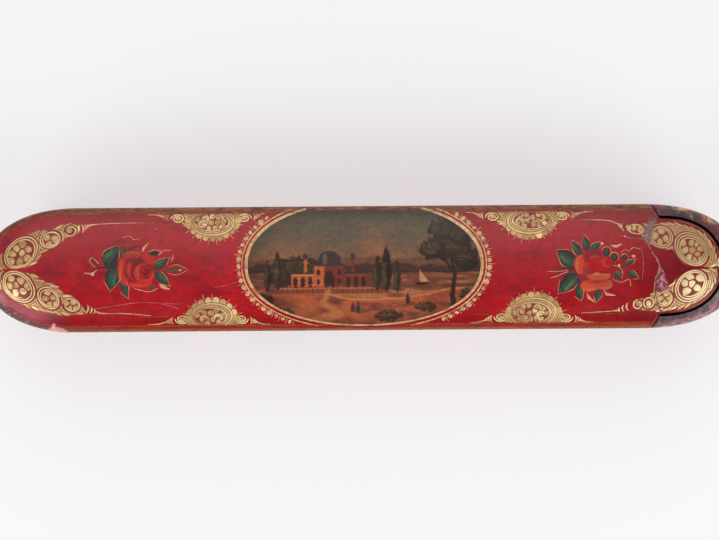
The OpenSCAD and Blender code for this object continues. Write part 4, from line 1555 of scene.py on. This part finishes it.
def paint_pavilion(canvas, x, y, scale):
    """Garden pavilion with a dome, arches and low wings."""
    wall, lit, shade, roof = (112, 48, 38), (186, 92, 50), (58, 30, 30), (56, 46, 48)
    rough = 0.45 * (canvas.clouds(0.7, 87) - 0.5)

    def box(left, low, right, high):
        corners = [(left, low), (right, low), (right, high), (left, high)]
        return canvas.polygon([(x + scale * u, y + scale * v) for u, v in corners]) + rough

    def arch(u, v, rx, ry):
        return canvas.oval((x + scale * u, y + scale * v), scale * rx, scale * ry) + rough

    for side in (-1, 1):
        left, right = sorted((3.4 * side, 9.2 * side))
        canvas.paint(box(left, 0, right, 3.0), lit if side < 0 else wall)
        canvas.paint(box(left - 0.3, 3.0, right + 0.3, 3.5), roof)
        canvas.paint(box(left, 2.6, right, 2.85), (214, 128, 76) if side < 0 else (146, 66, 46), 0.2, 0.8)
        for k in range(3):
            canvas.paint(arch(side * (4.6 + 1.8 * k), 1.0, 0.55, 1.3), shade, 0.3)
    canvas.paint(box(-3.6, 0, 3.6, 5.0), wall)
    canvas.paint(box(-3.6, 0, -1.2, 5.0), lit, 0.6)
    canvas.paint(arch(0, 1.4, 1.3, 2.4), shade, 0.3)
    for u in (-2.6, 2.4):
        for v in (1.2, 3.4):
            canvas.paint(arch(u, v, 0.4, 0.75), shade, 0.3)
    canvas.paint(box(-4.0, 4.9, 4.0, 5.4), roof)
    canvas.paint(np.maximum(arch(0, 5.4, 2.9, 3.2), y + 5.2 * scale - canvas.y), roof)
    canvas.paint(arch(-1.0, 6.6, 0.5, 1.3), (122, 84, 70), 0.7, 0.8)
    canvas.paint(box(-0.12, 8.4, 0.12, 9.8), (140, 96, 62))
    for side in (-1, 1):
        canvas.paint(box(5.7 * side - 0.35, 3.4, 5.7 * side + 0.35, 7.0), wall if side > 0 else lit, 0.3)
        canvas.paint(arch(5.7 * side, 7.2, 0.6, 0.8), roof, 0.3)


def paint_sky(canvas):
    """Dusk over hills and a lake."""
    x, y = canvas.x, canvas.y
    height = np.clip((y + 2) / 13, 0, 1)[..., None]
    canvas.colour = srgb(166, 98, 62) * (1 - height) + srgb(96, 84, 64) * height
    canvas.paint(0.56 - clouds(x, y * 1.8, 13, 11) + 0.02 * (y - 4), (160, 92, 60), 0.25, 0.75)
    canvas.paint(0.5 - clouds(x, y * 2.2, 9, 17), (86, 76, 60), 0.3, 0.6)
    far_ridge = 2.6 + 6.0 * (clouds(x, 0 * x, 12, 23) - 0.4)
    canvas.paint(y - far_ridge, (108, 70, 52), 0.8)
    near_ridge = 0.6 + 4.4 * (clouds(x, 0 * x, 8, 29) - 0.4) + 0.8 * canvas.clouds(0.8, 31)
    canvas.paint(y - near_ridge, (70, 44, 38), 0.5)
    lake = y + 1.2 + 0.5 * np.sin(x * 0.3)
    canvas.paint(lake, (132, 74, 50), 0.5)
    glint = clouds(x * 0.25, y * 2.2, 2.2, 37)
    canvas.paint(np.maximum(lake, 0.58 - glint), (182, 112, 72), 0.15, 0.7)
    canvas.paint(np.maximum(lake, glint - 0.42), (80, 46, 38), 0.15, 0.7)
    canvas.paint(np.abs(y + 1.0) - 0.6 * canvas.clouds(2.0, 41), (50, 36, 30), 0.3, 0.9)


def paint_garden(canvas):
    """Near bank with a path, a terrace, the pavilion and its trees."""
    x, y = canvas.x, canvas.y
    bank = y + 7.4 + 1.6 * np.sin(x * 0.11 + 1.2) + 1.2 * (canvas.clouds(6, 43) - 0.5)
    ground = np.clip(2 * clouds(x, y * 1.6, 5, 47) - 0.5, 0, 1)[..., None]
    canvas.paint(bank, srgb(178, 90, 50) * (1 - ground) + srgb(138, 64, 42) * ground, 0.5)
    canvas.paint(np.maximum(bank, 0.58 - clouds(x * 0.5, y * 2, 3, 53)), (90, 44, 36), 0.25, 0.75)
    canvas.paint(np.maximum(bank, np.abs(bank + 0.5) - 0.3), (204, 132, 84), 0.3, 0.6)
    for k in range(3):
        paint_bush(canvas, (-24.0 + 4.2 * k, -1.6 + k % 2), 4.0, 4.6, 91 + k, (44, 34, 26), (84, 66, 40))
    terrace = [(-27, -5.4), (7, -5.4), (9, -7.6), (-29, -7.6)]
    canvas.paint(canvas.polygon(terrace), (126, 62, 42), 0.5)
    canvas.paint(canvas.line([(-28, -6.0), (8, -6.0)], 0.35), (196, 116, 74), 0.4, 0.8)
    for post in np.arange(-27.0, 8.0, 1.5):
        canvas.paint(canvas.line([(post, -6.0), (post - 0.1, -7.4)], 0.3), (84, 42, 34), 0.25, 0.7)
    paint_pavilion(canvas, -10.0, -5.4, 1.25)
    path = [(-16, -17), (-7, -13.6), (-12, -10.4), (-10, -6.2)]
    canvas.paint(canvas.line(path, [4.0, 2.6, 1.8, 1.4]), (196, 116, 70), 1.2, 0.7)
    trees = ((-25.5, -5.6, 11), (-28.6, -6.4, 8.6), (4.4, -5.8, 10.4), (7.2, -6.2, 13), (10.4, -6.6, 9.2))
    for k, (cx, cy, tall) in enumerate(trees):
        paint_cypress(canvas, cx, cy, tall, (34, 28, 24) if k % 2 else (46, 36, 28))


def paint_foreground(canvas):
    """Great tree, shrubs, a sail on the lake, birds and walkers on the bank."""
    bark, dark = (44, 28, 24), (46, 28, 26)
    sail = [(17.2, -4.4), (17.2, -0.6), (19.9, -4.2)]
    canvas.paint(canvas.polygon(sail), (188, 132, 92), 0.35)
    canvas.paint(canvas.oval((17.8, -4.7), 2.0, 0.4), dark, 0.25)
    trunk = [(28.0, -14.0), (27.0, -8.0), (27.8, -2.0), (26.6, 4.0)]
    canvas.paint(canvas.line(trunk, [2.2, 1.5, 1.2, 0.8]), bark, 0.5)
    canvas.paint(canvas.line([(27.4, -1.0), (23.4, 4.0)], [0.9, 0.5]), bark, 0.4)
    boughs = ((26.4, 6.4, 6.4, 4.6), (21.2, 5.4, 4.2, 3.0), (31.2, 2.6, 3.8, 3.8),
              (24.6, 11.4, 5.0, 3.2), (29.4, 9.6, 3.6, 2.8))
    for k, (cx, cy, rx, ry) in enumerate(boughs):
        paint_bush(canvas, (cx, cy), rx, ry, 61 + k, (42, 32, 24), (90, 70, 38))
    shrubs = ((-31, -9.6, 4.0, 2.4), (8, -14.4, 4.0, 1.8), (19, -11.6, 3.0, 1.6),
              (32, -8.4, 3.4, 2.6), (-24, -13.6, 3.4, 1.4))
    for k, (cx, cy, rx, ry) in enumerate(shrubs):
        paint_bush(canvas, (cx, cy), rx, ry, 71 + k, (48, 32, 26), (104, 74, 40))
    for cx, cy in ((-4, 12.5), (-1.5, 13.6), (1.6, 11.8), (5.0, 13.2)):
        wings = [(cx - 0.8, cy + 0.3), (cx, cy), (cx + 0.8, cy + 0.35)]
        canvas.paint(canvas.line(wings, 0.18), (54, 44, 40), 0.2, 0.8)
    walkers = ((-3.0, -11.6, (92, 26, 26)), (-1.4, -11.9, (38, 48, 44)), (13.6, -9.2, (66, 30, 30)))
    for cx, cy, robe in walkers:
        canvas.paint(canvas.oval((cx + 0.6, cy - 1.3), 1.3, 0.3), (74, 38, 30), 0.4, 0.8)
        canvas.paint(canvas.leaf((cx, cy - 1.7), (cx, cy + 1.3), 1.3), robe, 0.3)
        canvas.paint(canvas.oval((cx, cy + 1.3), 0.32, 0.36), dark, 0.25)


def dab(canvas, count):
    """Short strokes of the colours that are there, a little lighter or darker, as a brush leaves them."""
    x, y = canvas.x[0], canvas.y[:, 0]
    for _ in range(count):
        spot = np.array([rng.uniform(x[0], x[-1]), rng.uniform(y[0], y[-1])])
        tone = canvas.value(canvas.colour, spot) * rng.choice((0.66, 0.8, 1.25, 1.4))
        reach = np.array([rng.uniform(0.3, 0.9), rng.uniform(-0.25, 0.25)])
        stroke = canvas.line([spot - reach, spot + reach], rng.uniform(0.15, 0.4))
        canvas.paint(stroke, tone[None, None], 0.3, 0.6)


def build_medallion():
    """Landscape in the oval: hills, a lake, a garden pavilion, cypresses and a great tree."""
    low = (OVAL[0] - OVAL_A - 0.3, OVAL[1] - OVAL_DOWN - 0.3)
    canvas = Canvas(low, (OVAL[0] + OVAL_A + 0.3, OVAL_TOP), PICTURE_STEP, BLACK)
    x, y = canvas.x, canvas.y
    tall = np.where(y > OVAL[1], OVAL_UP, OVAL_DOWN)
    reach = (np.abs(x - OVAL[0]) / OVAL_A) ** OVAL_POWER + (np.abs(y - OVAL[1]) / tall) ** OVAL_POWER
    canvas.edge = np.maximum((reach ** (1 / OVAL_POWER) - 1) * OVAL_DOWN, y - OVAL_TOP + 0.1)
    paint_sky(canvas)
    paint_garden(canvas)
    paint_foreground(canvas)
    dab(canvas, DABS)
    rim = np.clip(1 + canvas.edge / 6, 0, 1)[..., None]
    canvas.colour *= 1 - 0.45 * rim ** 2
    canvas.colour *= 0.76 + 0.44 * canvas.clouds(1.0, 83)[..., None]
    canvas.build("oval_picture", PAINT, PICTURE_LIFT)


build_medallion()

# Wear, with painted shade and highlights at the crack and the rubbed edges

WEAR_STEP = 0.1
CRACK_LIFT = 0.09
CHIP_PLACE = (-92.9, -18.7)
CHIP_LIFT = 0.03
CHIP_RELIEF = 0.25
RUB_AND_HIGHLIGHT_INSET = 0.5
RUB_AND_HIGHLIGHT_TURN = 0.44 * math.pi
RUB_AND_HIGHLIGHT_STEPS = 80
SEAM_RUB_AND_HIGHLIGHT_STEPS = 14


def build_crack():
    """Crack across the root of the tongue, with a painted shadow line beside it, and a bare flake beside it
    with painted glints.
    """
    canvas = Canvas((82.5, -15), (93, 15), WEAR_STEP, LACQUER)
    wobble = canvas.clouds(1.0, 101) - 0.5
    fine = canvas.clouds(0.6, 107)
    flake_outline = [(89.4, 0.6), (91.6, -3.6), (92.0, -6.4), (90.0, -7.6), (88.4, -7.2), (88.2, -3.6)]
    flake = canvas.polygon(closed(flake_outline)) + 0.8 * wobble
    canvas.paint(flake, (126, 44, 58), 0.5, shape=True)
    canvas.paint(np.maximum(flake + 0.3, 0.5 - canvas.clouds(1.6, 103)), (152, 72, 92), 0.4, 0.8)
    # Painted glints: pale pink mottles on the flake.
    canvas.paint(np.maximum(flake + 0.4, 0.58 - fine), (200, 142, 152), 0.2, 0.8)
    canvas.paint(np.maximum(flake + 0.3, fine - 0.38), (98, 36, 48), 0.2, 0.7)
    bends = [(85.7, 7.6), (87.2, 4.4), (88.9, 1.5), (89.4, -1.2), (88.0, -4.2), (88.0, -8.8), (89.8, -14.0)]
    line = spline(bends)
    line[:, 0] += 0.5 * (clouds(line[:, 0], line[:, 1], 1.2, 109) - 0.5)
    # Painted shadow: a dark line beside the crack.
    canvas.paint(canvas.line(line + (0.3, 0), 0.3) + 0.3 * wobble, (60, 20, 26), 0.2, shape=True)
    # Pale line of the crack's edge, partly bare ground and partly a painted highlight.
    pale = canvas.line(line, [0.3, 0.26, 0.4, 0.62, 0.34, 0.24, 0.2]) + 0.4 * wobble
    canvas.paint(pale, (186, 116, 94), 0.2, 0.9, shape=True)
    canvas.build("crack", PAINT, CRACK_LIFT)


def build_chip():
    """Bare plaster where the rolled edge is chipped."""
    start = SLEEVE_EDGE.near(*CHIP_PLACE)
    canvas = Canvas((start - 4.5, -8.8), (start + 4.5, 2.8), WEAR_STEP, (228, 152, 132))
    outline = [
        (-3.1, -5.0), (-2.3, -7.4), (-1.0, -7.2), (-0.6, -6.0), (1.2, -5.4), (2.9, -3.6),
        (3.2, -0.5), (1.8, 1.2), (-1.2, 1.8), (-2.8, 0.8), (-3.4, -2.0),
    ]
    lumps = canvas.clouds(1.5, 113)
    fine = canvas.clouds(0.6, 127)
    edge = canvas.polygon(closed(np.array(outline) + (start, 0)))
    canvas.edge = edge + 1.2 * (lumps - 0.5) + 1.4 * (fine - 0.5)
    canvas.paint(0.5 - lumps, (240, 186, 168), 0.3, 0.8)
    canvas.paint(fine - 0.36, (206, 122, 106), 0.2, 0.7)
    canvas.paint(-canvas.edge - 0.35, (122, 42, 42), 0.5, 0.85)
    canvas.raised = lumps * np.clip(-canvas.edge, 0, 1)
    canvas.build("edge_chip", PAINT, CHIP_LIFT, CHIP_RELIEF, SLEEVE_EDGE.over)


def build_scratches():
    """Fine scratches and pale flecks in the lacquer."""
    marks = Relief(on_crown)
    for points in (
        [(-81.2, -11.7), (-74.3, -10.8), (-67.8, -9.9), (-60.5, -10.1), (-54.9, -10.4)],
        [(-60.9, -10.4), (-58.0, -11.0), (-55.4, -11.9)],
        [(-44.7, -5.5), (-41.0, -4.8), (-37.3, -3.7)],
        [(76.6, 9.6), (80.4, 8.6), (85.0, 8.2)],
        [(80.0, 11.0), (83.0, 9.8), (85.4, 9.4)],
        [(84.0, 5.6), (84.6, 1.0), (84.2, -4.0)],
    ):
        marks.curve(points, [0.1, 0.16, 0.1])
    marks.dot((-62.2, 12.4), 0.5, 0.22, 10)
    marks.dot((79.2, 9.0), 0.5, 0.35, -20)
    marks.build("scratches", SCRATCH)


def build_rubbed_and_lit_edges():
    """Lines along the edge of the tongue and the seam beside it, partly rubbed lacquer and partly painted
    highlights on these edges.
    """
    rub_and_highlight = Relief(on_crown)
    # Painted highlight and rubbing along the tongue's edge and the seam.
    angles = np.linspace(-RUB_AND_HIGHLIGHT_TURN, RUB_AND_HIGHLIGHT_TURN, RUB_AND_HIGHLIGHT_STEPS)
    reach, across = oval_point(angles, TONGUE_L - RUB_AND_HIGHLIGHT_INSET, TONGUE_W / 2 - RUB_AND_HIGHLIGHT_INSET, TONGUE_POWER)
    rub_and_highlight.stroke(np.stack([ROOT_X + reach, across], 1), [0.2, 0.34, 0.24, 0.34, 0.2])
    away = np.linspace(TONGUE_W / 2 + 0.4, HALF_W - 0.6, SEAM_RUB_AND_HIGHLIGHT_STEPS)
    for side in (-1, 1):
        rub_and_highlight.stroke(np.stack([seam_end(away) - RUB_AND_HIGHLIGHT_INSET, side * away], 1), [0.16, 0.4, 0.2, 0.4])
    rub_and_highlight.build("tongue_rub_and_highlight", EDGE_GOLD)


build_crack()
build_chip()
build_scratches()
build_rubbed_and_lit_edges()


# Solids of the drawer that stay, with softened edges

WELD_GAP = 0.001
BEVEL_ANGLE = math.radians(35)


def soften(name, material, width):
    """Gives a solid its finish, joins its split corners and rounds its sharp edges."""
    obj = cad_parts[name]
    for slot in obj.material_slots:
        slot.material = material
    weld = obj.modifiers.new("weld", "WELD")
    weld.merge_threshold = WELD_GAP * MM
    bevel = obj.modifiers.new("bevel", "BEVEL")
    bevel.width = width * MM
    bevel.segments = 2
    bevel.limit_method = "ANGLE"
    bevel.angle_limit = BEVEL_ANGLE
    bevel.harden_normals = True


soften("drawer_tray", INSIDE_RED, 0.3)
soften("inkwell_partition", INSIDE_RED, 0.2)
soften("drawer_head", WORN_AND_LIT_RED, 0.3)
for name in ("inkwell_cup", "inkwell_top", "inkwell_hinge_pin", "inkwell_lid", "lid_knob"):
    soften(name, BRASS, 0.08)
for number in (1, 2, 3):
    soften(f"reed_pen_{number}", REED, 0.08)

WAD_ROWS = 40
WAD_COLS = 64


def build_wad():
    """Tousled wad of inked silk in the well."""
    middle = (wad_low + wad_high) / 2
    half = (wad_high - wad_low) / 2
    up = np.linspace(-math.pi / 2, math.pi / 2, WAD_ROWS)[:, None]
    round_about = np.linspace(0, 2 * math.pi, WAD_COLS)[None, :]
    c, s = np.cos(round_about), np.sin(round_about)
    flat = np.maximum(np.cos(up), 0) ** 0.45 * (c ** 4 + s ** 4) ** -0.25
    x, y = flat * c, flat * s
    z = np.sign(np.sin(up)) * np.abs(np.sin(up)) ** 0.8 * np.ones_like(x)
    crease = clouds(12 * x, 12 * y, 5.0, 91)
    z = np.where(z > 0, z * (0.55 + 0.6 * crease), z)
    points = middle + np.stack([x, y, np.clip(z, -1, 1)], -1) * half
    wad = new_object("silk_wad", points.reshape(-1, 3), grid_faces(WAD_ROWS, WAD_COLS), SILK, merge=0.01)
    piece(wad, "drawer", "inked_silk", "ink_wad")


build_wad()

# Floor, light and camera

FLOOR_REACH = 1500.0
FLOOR_GLOW = 0.532
ROOM_DIM = 0.08
ROOM_PALE = 0.55
LENS_MM = 90.0
SENSOR_MM = 36.0
CAMERA = (-0.9, -0.55, 578.0)
CAMERA_ROLL = -0.0074

# Softboxes that face the box: name, place, width and height in metres, and power in watts

LAMPS = (
    ("softbox", (-0.8, -0.64, 0.62), 0.9, 0.8, 9.5),
    ("softbox", (0.8, -0.64, 0.62), 0.9, 0.8, 10.5),
    ("back_panel", (0, 0.46, 0.8), 1.6, 0.8, 4.0),
    ("far_panel", (0, 1.1, 0.55), 1.6, 0.5, 2.2),
)


def build_stage():
    """Pale floor, which the camera and mirrors see brightly and which still takes the shadow."""
    look = Look("pale_floor")
    look.set("Base Color", (*srgb(163, 171, 172), 1))
    look.set("Roughness", 0.9)
    look.set("Specular IOR Level", 0.0)
    look.set("Emission Color", (*srgb(255, 244, 246), 1))
    path = look.node("LightPath", {})
    seen = path.outputs["Is Camera Ray"]
    for ray in ("Is Glossy Ray", "Is Transmission Ray"):
        seen = look.math("ADD", seen, path.outputs[ray])
    look.set("Emission Strength", look.level(seen, 0, 1, 0, FLOOR_GLOW))
    corners = [(x * FLOOR_REACH, y * FLOOR_REACH, 0) for x, y in ((-1, -1), (1, -1), (1, 1), (-1, 1))]
    new_object("floor", corners, [(0, 1, 2, 3)], look.material)


def build_room():
    """Surroundings: a pale backdrop behind the box, and a dim room on the near side."""
    world = bpy.data.worlds.new("studio")
    world.use_nodes = True
    tree = world.node_tree
    place = add_node(tree, "TexCoord", {}).outputs["Generated"]
    behind = add_node(tree, "SeparateXYZ", {"Vector": place}).outputs["Y"]
    inputs = {"Value": behind, "From Min": 0.2, "From Max": 0.8, "To Min": ROOM_DIM, "To Max": ROOM_PALE}
    brightness = add_node(tree, "MapRange", inputs).outputs["Result"]
    background = tree.nodes["Background"]
    feed(tree, background.inputs["Color"], (1, 1, 1, 1))
    feed(tree, background.inputs["Strength"], brightness)
    return world


def build_light():
    """Plain view of the colours, the room and its softboxes."""
    scene = bpy.context.scene
    scene.view_settings.view_transform = "Standard"
    scene.world = build_room()
    for name, place, width, height, power in LAMPS:
        data = bpy.data.lights.new(name, "AREA")
        data.shape = "RECTANGLE"
        data.size = width
        data.size_y = height
        data.energy = power
        light = bpy.data.objects.new(name, data)
        light.location = place
        light.rotation_euler = (-Vector(place)).to_track_quat("-Z", "Y").to_euler()
        scene.collection.objects.link(light)


def build_camera():
    """Camera over the box, turned a little as in the photo."""
    data = bpy.data.cameras.new("camera")
    data.lens = LENS_MM
    data.sensor_width = SENSOR_MM
    camera = bpy.data.objects.new("camera", data)
    camera.location = [v * MM for v in CAMERA]
    camera.rotation_euler = (0, 0, CAMERA_ROLL)
    bpy.context.scene.collection.objects.link(camera)
    bpy.context.scene.camera = camera


build_stage()
build_light()
build_camera()
